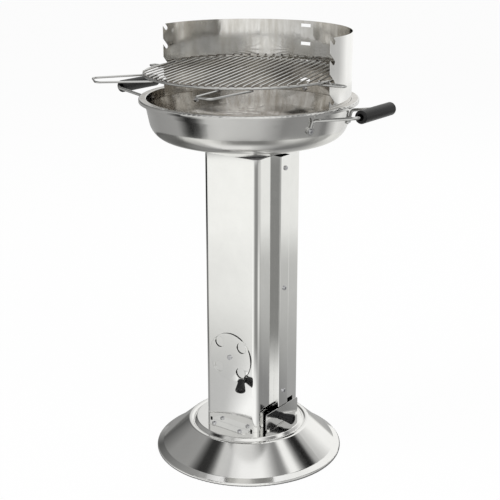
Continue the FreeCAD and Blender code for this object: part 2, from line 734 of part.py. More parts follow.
strip_screw = make_screw("strip_screw", "strip_depth + column_sheet + nut_height + screw_tail")
for side, word in ((1, "right"), (-1, "left")):
    outside = side * number("strip_face")
    inside = side * number("wall_inside")
    middle = number("strip_middle")
    heights = [number(height) for height in strip_screw_heights()]
    copies("strip_screws_" + word, strip_screw,
           [spot(outside, middle, height, (side, 0, 0)) for height in heights])
    copies("strip_nuts_" + word, nut,
           [spot(inside, middle, height, (-side, 0, 0)) for height in heights])


def bolt_angles():
    """The directions of the bowl bolts, between the column's faces."""
    return [360 / BOWL_BOLTS * (index + 0.5) for index in range(BOWL_BOLTS)]


def make_top_plate():
    """The plate inside the column's top: a flat pan, open downwards, that carries the bowl."""
    across = "wall_inside - lap_gap"
    along_side = "column_depth / 2 - column_sheet - lap_gap"
    corner = "column_corner - column_sheet"
    plate = padded("top_plate", rectangle(across, along_side, corner), "top_plate_flange")
    inner = body_sketch(plate, "top_plate_inside", "XY_Plane")
    outline(inner, rectangle(across + " - top_plate_sheet", along_side + " - top_plate_sheet",
                             corner + " - top_plate_sheet"))
    pocket(plate, "top_plate_hollow", inner, "top_plate_flange - top_plate_sheet", reverse=True)
    place(plate, (0, "column_set_back", "column_top - top_plate_flange"))
    under = "column_top - top_plate_sheet"
    tools = [rod("chimney_hole", (0, 0, under + " - %s" % PAST), (0, 0, 1), "top_plate_hole",
                 "top_plate_sheet + %s" % (2 * PAST))]
    for angle in bolt_angles():
        x = "bowl_bolt_circle * cos(%s)" % angle
        y = "bowl_bolt_circle * sin(%s)" % angle
        tools.append(screw_hole("plate_bolt_hole", (x, y, under), (0, 0, 1), "top_plate_sheet"))
    return piece(cut(plate, *tools), "column_top_plate")


make_top_plate()


# Air disc

def make_rivet():
    """The rivet that the air disc turns on, with a domed head on both sides."""
    front = "disc_gap + disc_sheet + pivot_gap"
    back = "-(column_sheet + lap_gap)"
    head = "rivet_head_height"
    rivet = turned("rivet", [
        (0, back + " - " + head),
        ("rivet_head_radius", back + " - " + head, "rivet_head_height / 2"),
        ("rivet_head_radius", back),
        ("rivet_radius", back),
        ("rivet_radius", front),
        ("rivet_head_radius", front),
        ("rivet_head_radius", front + " + " + head, "rivet_head_height / 2"),
        (0, front + " + " + head),
    ])
    place(rivet, (0, "-column_front", "disc_height"), along((0, -1, 0)))
    return piece(rivet, "air_disc_rivet")


def make_disc_washer():
    """The washer that keeps the air disc clear of the cover."""
    ring = rod("washer", (0, "-column_front", "disc_height"), (0, -1, 0), "washer_radius",
               "disc_gap - lap_gap")
    bore = rod("washer_bore", (0, "%s - column_front" % PAST, "disc_height"), (0, -1, 0),
               "rivet_radius + lap_gap", "disc_gap + %s" % (2 * PAST))
    return piece(cut(ring, bore), "air_disc_washer")


def tab_frame():
    """The place of the disc's bent tab: +X along the tab, +Z out of its front."""
    turn = math.radians(number("disc_tab_angle"))
    bend = math.radians(number("disc_bend_angle"))
    radial = Vector(math.cos(turn), 0, math.sin(turn))
    forward = Vector(0, -1, 0)
    out = radial * math.cos(bend) + forward * math.sin(bend)
    front = forward * math.cos(bend) - radial * math.sin(bend)
    root = radial * number("disc_radius - disc_tab_sink")
    root = root + Vector(0, -number("column_front + disc_gap"), number("disc_height"))
    return Placement(root, Rotation(out, front.cross(out), front, "XZY"))


def make_air_disc():
    """The air disc: a flat disc with four holes and a tab bent towards the user."""
    back = "-(column_front + disc_gap)"
    disc = rod("disc", (0, back, "disc_height"), (0, -1, 0), "disc_radius", "disc_sheet")
    tab = document.addObject("Part::Box", "disc_tab")
    tab.setExpression("Length", formula("disc_tab_length"))
    tab.setExpression("Width", formula("disc_tab_width"))
    tab.setExpression("Height", formula("disc_sheet"))
    shift = Placement(Vector(0, -number("disc_tab_width") / 2, 0), Rotation())
    tab.Placement = tab_frame().multiply(shift)
    behind = "%s - column_front - disc_gap" % PAST
    tools = [rod("disc_pivot_hole", (0, behind, "disc_height"), (0, -1, 0),
                 "rivet_radius + pivot_gap", "disc_sheet + %s" % (2 * PAST))]
    for index in range(AIR_HOLES):
        angle = "(air_hole_angle + %s)" % (360 / AIR_HOLES * index)
        x = "air_hole_pitch * cos(%s)" % angle
        z = "disc_height + air_hole_pitch * sin(%s)" % angle
        tools.append(rod("disc_air_hole", (x, behind, z), (0, -1, 0), "air_hole_radius",
                         "4 * disc_sheet"))
    return piece(cut(fuse(disc, tab), *tools), "air_disc")


def knob_outline(length, bore):
    """Half the outline of a black knob: collar, neck, flared end with a hollow."""
    collar = "knob_neck_radius + knob_collar"
    corners = [
        (collar, 0, "knob_edge"),
        (collar, "knob_collar_height", "knob_edge"),
        ("knob_neck_radius", "knob_collar_height + knob_collar", "knob_edge"),
        ("knob_end_radius", length, "knob_rounding"),
        ("knob_dimple_radius", length),
        ("knob_dimple_radius", length + " - knob_dimple_depth"),
        (0, length + " - knob_dimple_depth"),
    ]
    if bore:
        return corners + [(0, "knob_bore_depth"), (bore, "knob_bore_depth"), (bore, 0)]
    return corners + [(0, 0)]


def make_disc_knob():
    """The knob on the disc's tab, with a slot that the tab is pressed into."""
    body = turned("disc_knob", knob_outline("disc_knob_length", None))
    neck = Vector(number("disc_tab_length - disc_tab_grip"), 0, number("disc_sheet / 2"))
    body.Placement = tab_frame().multiply(Placement(neck, along((1, 0, 0))))
    slot = document.addObject("Part::Box", "disc_knob_slot")
    slot.setExpression("Length", formula("disc_tab_grip + %s + thread_gap" % PAST))
    slot.setExpression("Width", formula("disc_tab_width + 2 * thread_gap"))
    slot.setExpression("Height", formula("disc_sheet + 2 * thread_gap"))
    corner = Vector(neck.x - PAST, -number("disc_tab_width / 2 + thread_gap"), -number("thread_gap"))
    slot.Placement = tab_frame().multiply(Placement(corner, Rotation()))
    return piece(cut(body, slot), "air_disc_knob")


make_rivet()
make_disc_washer()
make_air_disc()
make_disc_knob()


# Ash drawer

def make_drawer():
    """The tray, its front, the knob and the screw that holds all three together."""
    knob_height = "drawer_front_low + drawer_knob_rise"
    tray = box("tray_block", ("tray_end", "column_set_back - drawer_width / 2", "drawer_floor"),
               ("drawer_back - tray_end", "drawer_width", "drawer_wall"))
    inner_side = "column_set_back - drawer_width / 2 + drawer_sheet"
    hollow = box("tray_hollow", ("tray_end + drawer_sheet", inner_side, "drawer_floor + drawer_sheet"),
                 ("drawer_back - tray_end - 2 * drawer_sheet", "drawer_width - 2 * drawer_sheet",
                  "drawer_wall"))
    inside = ("drawer_back - drawer_sheet", "knob_side", knob_height)
    tray_hole = screw_hole("tray_hole", inside, (1, 0, 0), "drawer_sheet")
    piece(cut(tray, hollow, tray_hole), "ash_drawer_tray")
    half = "drawer_front_width / 2"
    front = padded("drawer_front", [
        ("-" + half, 0),
        (half, 0),
        (half, "drawer_front_height", "drawer_corner"),
        ("-" + half, "drawer_front_height", "drawer_corner"),
    ], "drawer_sheet", "YZ_Plane")
    place(front, ("drawer_back", "column_set_back", "drawer_front_low"))
    behind = ("drawer_back", "knob_side", knob_height)
    front_hole = screw_hole("front_hole", behind, (1, 0, 0), "drawer_sheet")
    piece(cut(front, front_hole), "ash_drawer_front")
    knob = turned("drawer_knob", knob_outline("drawer_knob_length", "screw_radius + thread_gap"))
    place(knob, ("drawer_face", "knob_side", knob_height), along((1, 0, 0)))
    piece(knob, "ash_drawer_knob")
    screw = make_screw("drawer_screw", "2 * drawer_sheet + knob_bore_depth - knob_bore_rest")
    copies("ash_drawer_screw", screw, [spot(*[number(text) for text in inside], (-1, 0, 0))])


def make_rail(name, side):
    """An angle that guides one side of the tray, welded to the foot's top."""
    web_side = "column_set_back + rail_side"
    foot_side = "column_set_back + rail_side"
    if side < 0:
        web_side = "column_set_back - rail_side - rail_sheet"
        foot_side = "column_set_back - rail_side - rail_foot"
    web = box(name + "_web", ("-rail_half", web_side, "plate_height"),
              ("2 * rail_half", "rail_sheet", "rail_height"))
    foot = box(name + "_foot", ("-rail_half", foot_side, "plate_height"),
               ("2 * rail_half", "rail_foot", "rail_sheet"))
    return piece(fuse(web, foot), name)


make_drawer()
make_rail("drawer_rail_front", -1)
make_rail("drawer_rail_rear", 1)


# Bowl

def wall_radius(height):
    """Outside radius of the bowl's leaning side at a height."""
    fall = "(collar_foot - (%s)) * tan(wall_lean)" % height
    return number("bowl_radius - %s + bowl_sheet / cos(wall_lean)" % fall)


def wall_frame(side_x, side_y, height):
    """A place on the bowl's leaning side with +Z pointing straight out of the sheet."""
    radius = wall_radius(height)
    across = number("handle_spread")
    reach = math.sqrt(radius ** 2 - across ** 2)
    point = Vector(side_x * reach, side_y * across, number(height))
    lean = math.radians(number("wall_lean"))
    flat = Vector(point.x, point.y, 0).normalize()
    return Placement(point, along(flat * math.cos(lean) - Vector(0, 0, math.sin(lean))))


def wall_hole(name, frame, start, thickness):
    """A screw hole along +Z of a place on the wall, from a height above that place."""
    hole = document.addObject("Part::Cylinder", name)
    hole.setExpression("Radius", formula("screw_radius + thread_gap"))
    hole.setExpression("Height", formula("(%s) + %s" % (thickness, 2 * PAST)))
    shift = Placement(Vector(0, 0, number(start) - PAST), Rotation())
    hole.Placement = frame.multiply(shift)
    return hole


def handle_corners():
    """The four legs of the two bowl handles: right or left, rear or front."""
    return [(side_x, side_y) for side_x in (1, -1) for side_y in (1, -1)]


def shield_screw_angles():
    """The directions of the three screws that hold the wind shield."""
    step = number("shield_screw_angle")
    return [90 - step, 90, 90 + step]


def make_bowl():
    """The bowl: rim, collar, leaning side, bent bottom and flat floor with an ash hole."""
    blank = spun_sheet("bowl_blank", [
        ("bowl_rim_radius", "rim_top - bowl_edge_drop"),
        ("bowl_rim_radius", "rim_top", "bowl_rim_bend"),
        ("bowl_radius", "rim_top", "bowl_lip_bend"),
        ("bowl_radius", "collar_foot", "bowl_collar_bend"),
        ("bowl_side_radius", "corner_height", "bowl_bend"),
        ("bowl_floor_radius", "floor_top", "bowl_floor_bend"),
        (0, "floor_top"),
    ], "bowl_sheet")
    tools = [rod("ash_hole", (0, 0, "column_top - %s" % PAST), (0, 0, 1), "ash_hole",
                 "bowl_sheet + %s" % (2 * PAST))]
    for angle in bolt_angles():
        x = "bowl_bolt_circle * cos(%s)" % angle
        y = "bowl_bolt_circle * sin(%s)" % angle
        tools.append(screw_hole("bowl_bolt_hole", (x, y, "column_top"), (0, 0, 1), "bowl_sheet"))
    for angle in shield_screw_angles():
        x = "bowl_radius * cos(%s)" % angle
        y = "bowl_radius * sin(%s)" % angle
        tools.append(screw_hole("shield_bolt_hole", (x, y, "rim_top - shield_screw_drop"),
                                polar(1, angle, 0), "bowl_sheet"))
    for side_x, side_y in handle_corners():
        frame = wall_frame(side_x, side_y, "eyelet_height")
        tools.append(wall_hole("handle_hole", frame, "-bowl_sheet", "bowl_sheet"))
    return piece(cut(blank, *tools), "bowl")


make_bowl()
bowl_bolt = make_screw("bowl_bolt", "bowl_sheet + top_plate_sheet + nut_height + screw_tail")
bolt_spots = [polar(number("bowl_bolt_circle"), angle, 0) for angle in bolt_angles()]
copies("bowl_bolts", bowl_bolt,
       [spot(p.x, p.y, number("floor_top"), (0, 0, 1)) for p in bolt_spots])
copies("bowl_nuts", nut,
       [spot(p.x, p.y, number("column_top - top_plate_sheet"), (0, 0, -1)) for p in bolt_spots])


# Wind shield

def shield_tool_frame(side, level):
    """The place of a notch's tip, with +X radial and +Y along the slanted slot."""
    angle = number("notch_angle")
    angle = angle if side > 0 else 180 - angle
    tip = polar(number("shield_outer"), angle, number("notch_first + %d * notch_pitch" % level))
    radial = polar(1, angle, 0)
    to_end = radial.cross(Vector(0, 0, 1)) * side
    slant = (to_end + Vector(0, 0, 1)).normalize()
    return Placement(tip, Rotation(radial, slant, radial.cross(slant), "XYZ"))


def make_shield():
    """The wind shield: a part cylinder with slanted end notches and rear slots."""
    outer = document.addObject("Part::Cylinder", "shield")
    outer.setExpression("Radius", formula("shield_outer"))
    outer.setExpression("Height", formula("shield_height"))
    outer.setExpression("Angle", formula("shield_span"))
    turn = Rotation(Vector(0, 0, 1), number("shield_end"))
    place(outer, (0, 0, "shield_foot"), turn)
    tools = [rod("shield_inside", (0, 0, "shield_foot - %s" % PAST), (0, 0, 1), "shield_inner",
                 "shield_height + %s" % (2 * PAST))]
    depth = number("notch_reach")
    inward = Vector(-depth, 0, 0)
    for level in range(NOTCH_LEVELS):
        for side in (1, -1):
            frame = shield_tool_frame(side, level)
            tip = document.addObject("Part::Cylinder", "notch_tip")
            tip.setExpression("Radius", formula("notch_width / 2"))
            tip.setExpression("Height", formula("2 * notch_reach"))
            tip.Placement = frame.multiply(Placement(inward, along((1, 0, 0))))
            slot = document.addObject("Part::Box", "notch_slot")
            slot.setExpression("Length", formula("2 * notch_reach"))
            slot.setExpression("Width", formula("2 * (notch_reach + notch_width)"))
            slot.setExpression("Height", formula("notch_width"))
            corner = inward - Vector(0, 0, number("notch_width / 2"))
            slot.Placement = frame.multiply(Placement(corner, Rotation()))
            tools += [tip, slot]
        low = "notch_first - notch_width / 2 + %d * notch_pitch" % level
        tools.append(box("rear_slot", ("-rear_slot_width / 2", "shield_inner - %s" % PAST, low),
                         ("rear_slot_width", "shield_sheet + %s" % (2 * PAST), "rear_slot_height")))
    for angle in shield_screw_angles():
        x = "shield_inner * cos(%s)" % angle
        y = "shield_inner * sin(%s)" % angle
        tools.append(screw_hole("shield_hole", (x, y, "rim_top - shield_screw_drop"),
                                polar(1, angle, 0), "shield_sheet"))
    return piece(cut(outer, *tools), "wind_shield")


make_shield()
shield_screw = make_screw("shield_screw", "shield_sheet + shield_gap + bowl_sheet + 2 * curve_gap"
                          " + nut_height + bowl_screw_tail")
screw_height = number("rim_top - shield_screw_drop")
inner_seats = [polar(number("shield_inner - curve_gap"), angle, screw_height)
               for angle in shield_screw_angles()]
outer_seats = [polar(number("bowl_radius + bowl_sheet"), angle, screw_height)
               for angle in shield_screw_angles()]
copies("shield_screws", shield_screw, [spot(p.x, p.y, p.z, (-p.x, -p.y, 0)) for p in inner_seats])
copies("shield_nuts", nut, [spot(p.x, p.y, p.z, (p.x, p.y, 0)) for p in outer_seats])


# Bowl handles

def make_handle_wire(name, side):
    """A bent wire with a flattened eyelet at each end, screwed to the bowl's side."""
    ends = []
    eyelets = []
    holes = []
    for side_y in (1, -1):
        frame = wall_frame(side, side_y, "eyelet_height")
        above = wall_frame(side, side_y, "eyelet_height + eyelet_radius - handle_wire / 2")
        ends.append(above.multVec(Vector(0, 0, number("handle_wire + handle_gap"))))
        eyelet = document.addObject("Part::Cylinder", name + "_eyelet")
        eyelet.setExpression("Radius", formula("eyelet_radius"))
        eyelet.setExpression("Height", formula("eyelet_thickness"))
        eyelet.Placement = frame.multiply(Placement(Vector(0, 0, number("lap_gap")), Rotation()))
        eyelets.append(eyelet)
        holes.append(wall_hole(name + "_hole", frame, "lap_gap", "eyelet_thickness"))
    spread = number("handle_spread")
    reach = side * number("handle_reach")
    elbow = side * number("handle_elbow")
    height = number("handle_height")
    elbow_height = number("handle_height - handle_elbow_drop")
    wire = bent_wire(name + "_blank", [
        ends[0],
        Vector(elbow, spread, elbow_height),
        Vector(reach, spread, height),
        Vector(reach, -spread, height),
        Vector(elbow, -spread, elbow_height),
        ends[1],
    ], number("handle_bend"), number("handle_wire"))
    return piece(cut(fuse(wire, *eyelets), *holes), name)


def make_grip(name, side):
    """The black sleeve on a handle's wire, with a wide hollow at each end."""
    half = "(grip_half)"
    bore = "handle_wire + pivot_gap"
    mouth = half + " - grip_mouth_depth"
    sleeve = turned(name, [
        ("grip_mouth_radius", "-" + half),
        ("grip_radius", "-" + half, "grip_rounding"),
        ("grip_radius", half, "grip_rounding"),
        ("grip_mouth_radius", half),
        ("grip_mouth_radius", mouth),
        (bore, mouth),
        (bore, "-(%s)" % mouth),
        ("grip_mouth_radius", "-(%s)" % mouth),
    ])
    sign = "-" if side < 0 else ""
    place(sleeve, (sign + "handle_reach", 0, "handle_height"), along((0, 1, 0)))
    return piece(sleeve, name)


make_handle_wire("handle_wire_right", 1)
make_handle_wire("handle_wire_left", -1)
make_grip("handle_grip_right", 1)
make_grip("handle_grip_left", -1)

handle_screw = make_screw("handle_screw", "lap_gap + eyelet_thickness + bowl_sheet + curve_gap"
                          " + nut_height + bowl_screw_tail")
eyelet_frames = [wall_frame(side_x, side_y, "eyelet_height") for side_x, side_y in handle_corners()]
outside = Placement(Vector(0, 0, number("lap_gap + eyelet_thickness")), Rotation())
inside = Placement(Vector(0, 0, -number("bowl_sheet + curve_gap")), along((0, 0, -1)))
copies("handle_screws", handle_screw, [frame.multiply(outside) for frame in eyelet_frames])
copies("handle_nuts", nut, [frame.multiply(inside) for frame in eyelet_frames])


# Cooking grate

def parallel_bars(name, centre, height, ring, bar, pitch, turn):
    """Straight bars laid side by side across a ring, each as long as its chord."""
    bars = []
    most = int(number("(%s - %s / 2) / %s" % (ring, pitch, pitch)))
    for index in range(-most, most + 1):
        half = "sqrt(%s * %s - (%d * %s) * (%d * %s))" % (ring, ring, index, pitch, index, pitch)
        x = "%s + %d * %s * cos(%s) + %s * sin(%s)" % (centre[0], index, pitch, turn, half, turn)
        y = "%s + %d * %s * sin(%s) - %s * cos(%s)" % (centre[1], index, pitch, turn, half, turn)
        axis = polar(1, 90 + number(turn), 0)
        bars.append(rod(name + "_bar", (x, y, height), axis, bar, "2 * " + half))
    return piece(group(name, bars), name)


def make_ring(name, centre, height, ring, wire):
    """The round wire that carries the bars."""
    item = document.addObject("Part::Torus", name)
    item.setExpression("Radius1", formula(ring))
    item.setExpression("Radius2", formula(wire))
    place(item, (centre[0], centre[1], height))
    return piece(item, name)


def make_ear(name, side):
    """A hairpin that hangs in the shield's notch: its rear leg lies in the notch's tip."""
    height = number("ear_height")
    notch = polar(number("shield_outer - shield_sheet / 2"), number("notch_angle"), 0)
    root_x = number("grate_radius - weld_lap") - side * number("grate_left")
    tip_x = number("ear_reach")
    root_half = number("ear_root / 2")
    tip_half = number("ear_tip / 2")
    share = (notch.x - root_x) / (tip_x - root_x)
    middle = notch.y - root_half - (tip_half - root_half) * share
    wire = bent_wire(name, [
        Vector(side * root_x, middle + root_half, height),
        Vector(side * tip_x, middle + tip_half, height),
        Vector(side * tip_x, middle - tip_half, height),
        Vector(side * root_x, middle - root_half, height),
    ], number("ear_tip / 2 - ear_wire / 2"), number("ear_wire"))
    return piece(wire, name)


def make_hook():
    """The short rear loop whose nose sits in one of the shield's rear slots."""
    height = number("ear_height")
    root = number("grate_radius - grate_forward - weld_lap")
    nose = number("shield_inner + hook_nose - ear_wire")
    half = number("hook_width / 2")
    wire = bent_wire("rear_hook", [
        Vector(-half, root, height),
        Vector(-half, nose, height),
        Vector(half, nose, height),
        Vector(half, root, height),
    ], number("hook_width / 2 - ear_wire"), number("ear_wire"))
    return piece(wire, "grate_rear_hook")


def make_loop(name, centre, angle, root, tip, root_reaches, tip_reach):
    """A long flat loop to lift the grate by, tapering from the ring to its tip."""
    out = polar(1, angle, 0)
    side = polar(1, angle + 90, 0)
    height = Vector(0, 0, number("ear_height"))
    points = []
    for across, reach in ((-root / 2, root_reaches[0]), (-tip / 2, tip_reach),
                          (tip / 2, tip_reach), (root / 2, root_reaches[1])):
        points.append(centre + out * reach + side * across + height)
    return piece(bent_wire(name, points, number("loop_bend"), number("ear_wire")), name)


def ring_reach(across):
    """How far the grate's ring lies from its centre line at a distance across."""
    return math.sqrt(number("grate_radius") ** 2 - across ** 2) - number("weld_lap / 2")


grate_centre = ("-grate_left", "-grate_forward")
make_ring("grate_ring", grate_centre, "grate_height", "grate_radius", "grate_wire")
parallel_bars("grate_bars", grate_centre, "grate_height + grate_wire + grate_bar + weld_gap",
              "grate_radius", "grate_bar", "grate_bar_pitch", "grate_bar_angle")
make_ear("grate_ear_right", 1)
make_ear("grate_ear_left", -1)
make_hook()

left_root = number("left_loop_root")
ring_centre = Vector(-number("grate_left"), -number("grate_forward"), 0)
make_loop("grate_loop_left", ring_centre, number("left_loop_angle"), left_root,
          number("left_loop_tip"), [ring_reach(left_root / 2)] * 2,
          number("grate_radius + left_loop_length"))

front_root = number("front_loop_root")
front_side = number("front_loop_side")
front_centre = Vector(front_side, ring_centre.y, 0)
from_middle = number("front_loop_across")
make_loop("grate_loop_front", front_centre, -90, front_root, number("front_loop_tip"),
          [ring_reach(from_middle - front_root / 2), ring_reach(from_middle + front_root / 2)],
          number("front_loop_end"))


# Fire grate

make_ring("fire_grate_ring", (0, 0), "fire_height", "fire_radius", "fire_wire")
parallel_bars("fire_grate_bars", ("0", "0"), "fire_height + fire_wire + fire_bar + weld_gap",
              "fire_radius", "fire_bar", "fire_bar_pitch", "0")


# Check every object and write each sub-part

document.recompute()
for item in document.Objects:
    assert "Invalid" not in item.State and "Error" not in item.State, item.Name + " failed"

os.makedirs("parts", exist_ok=True)
for item in pieces:
    shape = item.Shape
    assert not shape.isNull() and shape.isValid(), item.Label + " is not a valid shape"
    assert shape.Solids and shape.Volume > 0, item.Label + " holds no solid"
    shape.exportStep(os.path.join("parts", item.Label + ".step"))
    spread = shape.BoundBox
    print("%-24s %2d solids %10.1f mm3  x %7.1f %7.1f  y %7.1f %7.1f  z %6.1f %6.1f" % (
        item.Label, len(shape.Solids), shape.Volume, spread.XMin, spread.XMax,
        spread.YMin, spread.YMax, spread.ZMin, spread.ZMax))
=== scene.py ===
# %% [markdown]
# Pedestal charcoal grill
#
# A lesson in making bright sheet metal look right. The grill stands on a pressed foot and a
# box-shaped column of stainless sheet; a round bowl sits on top, with a wind shield, a cooking
# grate, two wire handles and a few black plastic knobs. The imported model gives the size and
# the place of every piece. The cells below put the camera and the studio round it, give each
# metal its own finish, and rebuild the pieces whose edges, beads and welds are worth a closer
# look. Lengths are in metres, +Z is up and the air disc faces -Y.

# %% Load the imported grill
import json
import math
from types import SimpleNamespace

import bmesh
import bpy
from mathutils import Matrix, Vector
from mathutils.bvhtree import BVHTree

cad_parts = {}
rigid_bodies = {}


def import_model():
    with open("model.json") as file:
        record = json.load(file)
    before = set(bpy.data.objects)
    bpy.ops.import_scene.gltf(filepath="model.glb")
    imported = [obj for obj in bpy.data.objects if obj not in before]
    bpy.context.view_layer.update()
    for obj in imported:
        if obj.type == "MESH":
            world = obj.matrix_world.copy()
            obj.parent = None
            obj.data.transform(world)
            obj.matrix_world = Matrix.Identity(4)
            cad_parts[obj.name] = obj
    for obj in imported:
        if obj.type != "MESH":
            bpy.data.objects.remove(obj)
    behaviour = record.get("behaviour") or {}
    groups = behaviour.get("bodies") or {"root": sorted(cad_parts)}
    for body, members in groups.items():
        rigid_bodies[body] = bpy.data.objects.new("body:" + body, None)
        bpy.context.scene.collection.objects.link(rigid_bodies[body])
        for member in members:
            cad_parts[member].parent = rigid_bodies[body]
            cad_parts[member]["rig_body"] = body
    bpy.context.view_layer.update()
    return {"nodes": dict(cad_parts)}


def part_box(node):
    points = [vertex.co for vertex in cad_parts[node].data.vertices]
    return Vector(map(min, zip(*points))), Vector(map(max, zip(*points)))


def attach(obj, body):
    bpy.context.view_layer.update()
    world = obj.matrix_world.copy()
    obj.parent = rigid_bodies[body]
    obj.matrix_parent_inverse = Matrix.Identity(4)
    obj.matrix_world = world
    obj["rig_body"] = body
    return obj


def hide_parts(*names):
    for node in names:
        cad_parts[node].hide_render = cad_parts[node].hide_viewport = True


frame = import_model()
scene = bpy.context.scene
nodes = frame["nodes"]

# %% [markdown]
# The column's axis is the line that almost everything is turned round. It is read from the
# foot, which is a round pressing, so the middle of its box is the axis.

# %% Find the column's axis
foot_low, foot_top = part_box("foot")
AXIS = Vector(((foot_low.x + foot_top.x) / 2, (foot_low.y + foot_top.y) / 2, 0))
print("axis at", [round(value, 5) for value in AXIS])

# %% [markdown]
# The camera looks down on the grill from the right, about as high as a person who stands a
# few steps away. A long lens keeps the column's edges nearly parallel. A small shift puts the
# grill where the picture has it, without turning the camera.

# %% Set the camera
camera_data = bpy.data.cameras.new("camera")
camera_data.lens = 81.19
camera_data.sensor_width = 36
camera_data.shift_x = 0.0024
camera_data.shift_y = 0.03
camera = bpy.data.objects.new("camera", camera_data)
camera.location = Vector((1.054, -1.440, 0.919)) + AXIS
camera.rotation_euler = [math.radians(angle) for angle in (71.66, 0, 36.2)]
scene.collection.objects.link(camera)
scene.camera = camera
scene.view_settings.view_transform = "Standard"
print("camera", round((camera.location - AXIS).length, 3), "m from the foot")

# %% [markdown]
# A material here is a small graph of nodes. The first helper starts one and hands back its
# shader. The others add the nodes that every finish needs, a noise, a ramp between two tones
# and a bump, and wire them up, so that each finish below stays a few lines long.


# %% Helpers for materials
def start_material(name, **values):
    """A material with one shader; named inputs of the shader are set directly."""
    material = bpy.data.materials.new(name)
    material.use_nodes = True
    tree = material.node_tree
    shader = tree.nodes["Principled BSDF"]
    for key, value in values.items():
        shader.inputs[key.replace("_", " ")].default_value = value
    return material, tree, shader


def add_node(tree, kind, **values):
    """A node with some of its inputs set; capitals name inputs, small names are settings."""
    node = tree.nodes.new("ShaderNode" + kind)
    for key, value in values.items():
        if key[0].isupper():
            node.inputs[key.replace("_", " ")].default_value = value
        else:
            setattr(node, key, value)
    return node


def wire_up(tree, source, target, out=0, into=0):
    """Connect one output to one input, by name or by number."""
    tree.links.new(source.outputs[out], target.inputs[into])
    return target


def add_noise(tree, source, out, **values):
    """A noise that takes its places from an output of another node."""
    return wire_up(tree, source, add_node(tree, "TexNoise", **values), out, "Vector")


def two_tone(tree, source, first, second, start=0.0, stop=1.0):
    """A ramp from one colour to another while a value goes from a start to a stop."""
    ramp = add_node(tree, "ValToRGB")
    ends = ramp.color_ramp.elements
    for end, colour, position in ((ends[0], first, start), (ends[1], second, stop)):
        end.color = (*colour, 1)
        end.position = position
    return wire_up(tree, source, ramp)


def add_bump(tree, height, strength, depth):
    """A bump of some strength and depth that follows a height."""
    bump = add_node(tree, "Bump", Strength=strength, Distance=depth)
    return wire_up(tree, height, bump, 0, "Height")


def wire_shader(tree, shader, colour, rough, bump):
    """Give the shader its colour, its roughness and its bump."""
    wire_up(tree, colour, shader, 0, "Base Color")
    wire_up(tree, rough, shader, 0, "Roughness")
    wire_up(tree, bump, shader, 0, "Normal")


HELPERS = (start_material, add_node, wire_up, add_noise, two_tone, add_bump, wire_shader)
print("helpers:", ", ".join(helper.__name__ for helper in HELPERS))

# %% [markdown]
# Stainless sheet is never perfectly even. Rolling leaves very fine lines along the sheet and
# the pressing leaves slow waves, so reflections wander a little. Three noises do this: a
# stretched one for the grain, which goes to roughness and a faint bump, a slow one for the
# waves, and a middle one that clouds the colour by a few percent.

# %% Sheet steel
LINE_SCALE, WAVE_SCALE, CLOUD_SCALE = 900.0, 9.0, 34.0
LINE_DEPTH, WAVE_DEPTH = 0.00005, 0.002
CLOUD_FROM, CLOUD_TO = 0.3, 0.7
DULL_SPREAD = 0.25
UPRIGHT = (1, 1, 0.02)
ROUND = (1, 1, 1)


def steel(name, colour, dull, grain, stretch, wave=0.15, cloud=0.04):
    """Polished sheet: dull is its roughness, grain the depth of its rolling lines."""
    material, tree, shader = start_material(name, Metallic=1.0)
    place = add_node(tree, "TexCoord")
    turn = add_node(tree, "Mapping", Scale=stretch)
    wire_up(tree, place, turn, "Object", "Vector")
    lines = add_noise(tree, turn, 0, Scale=LINE_SCALE, Detail=4.0, Roughness=0.6)
    waves = add_noise(tree, place, "Object", Scale=WAVE_SCALE, Detail=1.0)
    clouds = add_noise(tree, place, "Object", Scale=CLOUD_SCALE, Detail=5.0, Roughness=0.65)
    shade = [value * (1 - cloud) for value in colour]
    tint = two_tone(tree, clouds, shade, colour, CLOUD_FROM, CLOUD_TO)
    rough = add_node(tree, "MapRange", To_Min=dull * (1 - DULL_SPREAD),
                     To_Max=dull * (1 + DULL_SPREAD))
    wire_up(tree, lines, rough, 0, "Value")
    slow = add_bump(tree, waves, wave, WAVE_DEPTH)
    fine = add_bump(tree, lines, grain, LINE_DEPTH)
    wire_up(tree, slow, fine, 0, "Normal")
    wire_shader(tree, shader, tint, rough, fine)
    return material


bright_foot = steel("bright_foot", (0.88, 0.875, 0.86), 0.09, 0.10, ROUND, wave=0.08)
bright_bowl = steel("bright_bowl", (0.72, 0.715, 0.70), 0.14, 0.10, ROUND)
bright_column = steel("bright_column", (0.95, 0.95, 0.94), 0.09, 0.10, UPRIGHT, wave=0.05)
bright_shield = steel("bright_shield", (0.88, 0.875, 0.86), 0.09, 0.08, UPRIGHT)
bright_disc = steel("bright_disc", (0.93, 0.93, 0.92), 0.09, 0.08, ROUND, wave=0.05)
bright_drawer = steel("bright_drawer", (0.86, 0.86, 0.85), 0.12, 0.10, ROUND)
bright_wire = steel("bright_wire", (0.60, 0.60, 0.59), 0.10, 0.12, ROUND, wave=0.0)
fastener_zinc = steel("fastener_zinc", (0.66, 0.66, 0.68), 0.20, 0.20, ROUND, 0.0, 0.12)
plate_zinc = steel("plate_zinc", (0.82, 0.82, 0.83), 0.50, 0.20, ROUND, 0.0, 0.06)
plate_zinc.node_tree.nodes["Principled BSDF"].inputs["Metallic"].default_value = 0.15
print("steels:", [material.name for material in bpy.data.materials if not material.users])

# %% [markdown]
# Fire leaves its mark on the inside. Stainless steel that has been hot turns straw yellow and
# brown, and soot and fat dry on it in clouds and in runs from the rim down. Two noises mix the
# tints: a cloudy one, and one stretched upright for the runs. The same noises make the stained
# parts duller than the bare ones.

# %% Heated steel
SOOT_SCALE, RUN_SCALE = 26.0, 120.0
RUNS = (1, 1, 0.12)
STAIN_FROM, STAIN_TO = 0.40, 0.62
STAIN_DULLS = 2.2
CRUST, CRUST_DEPTH = 0.12, 0.0002


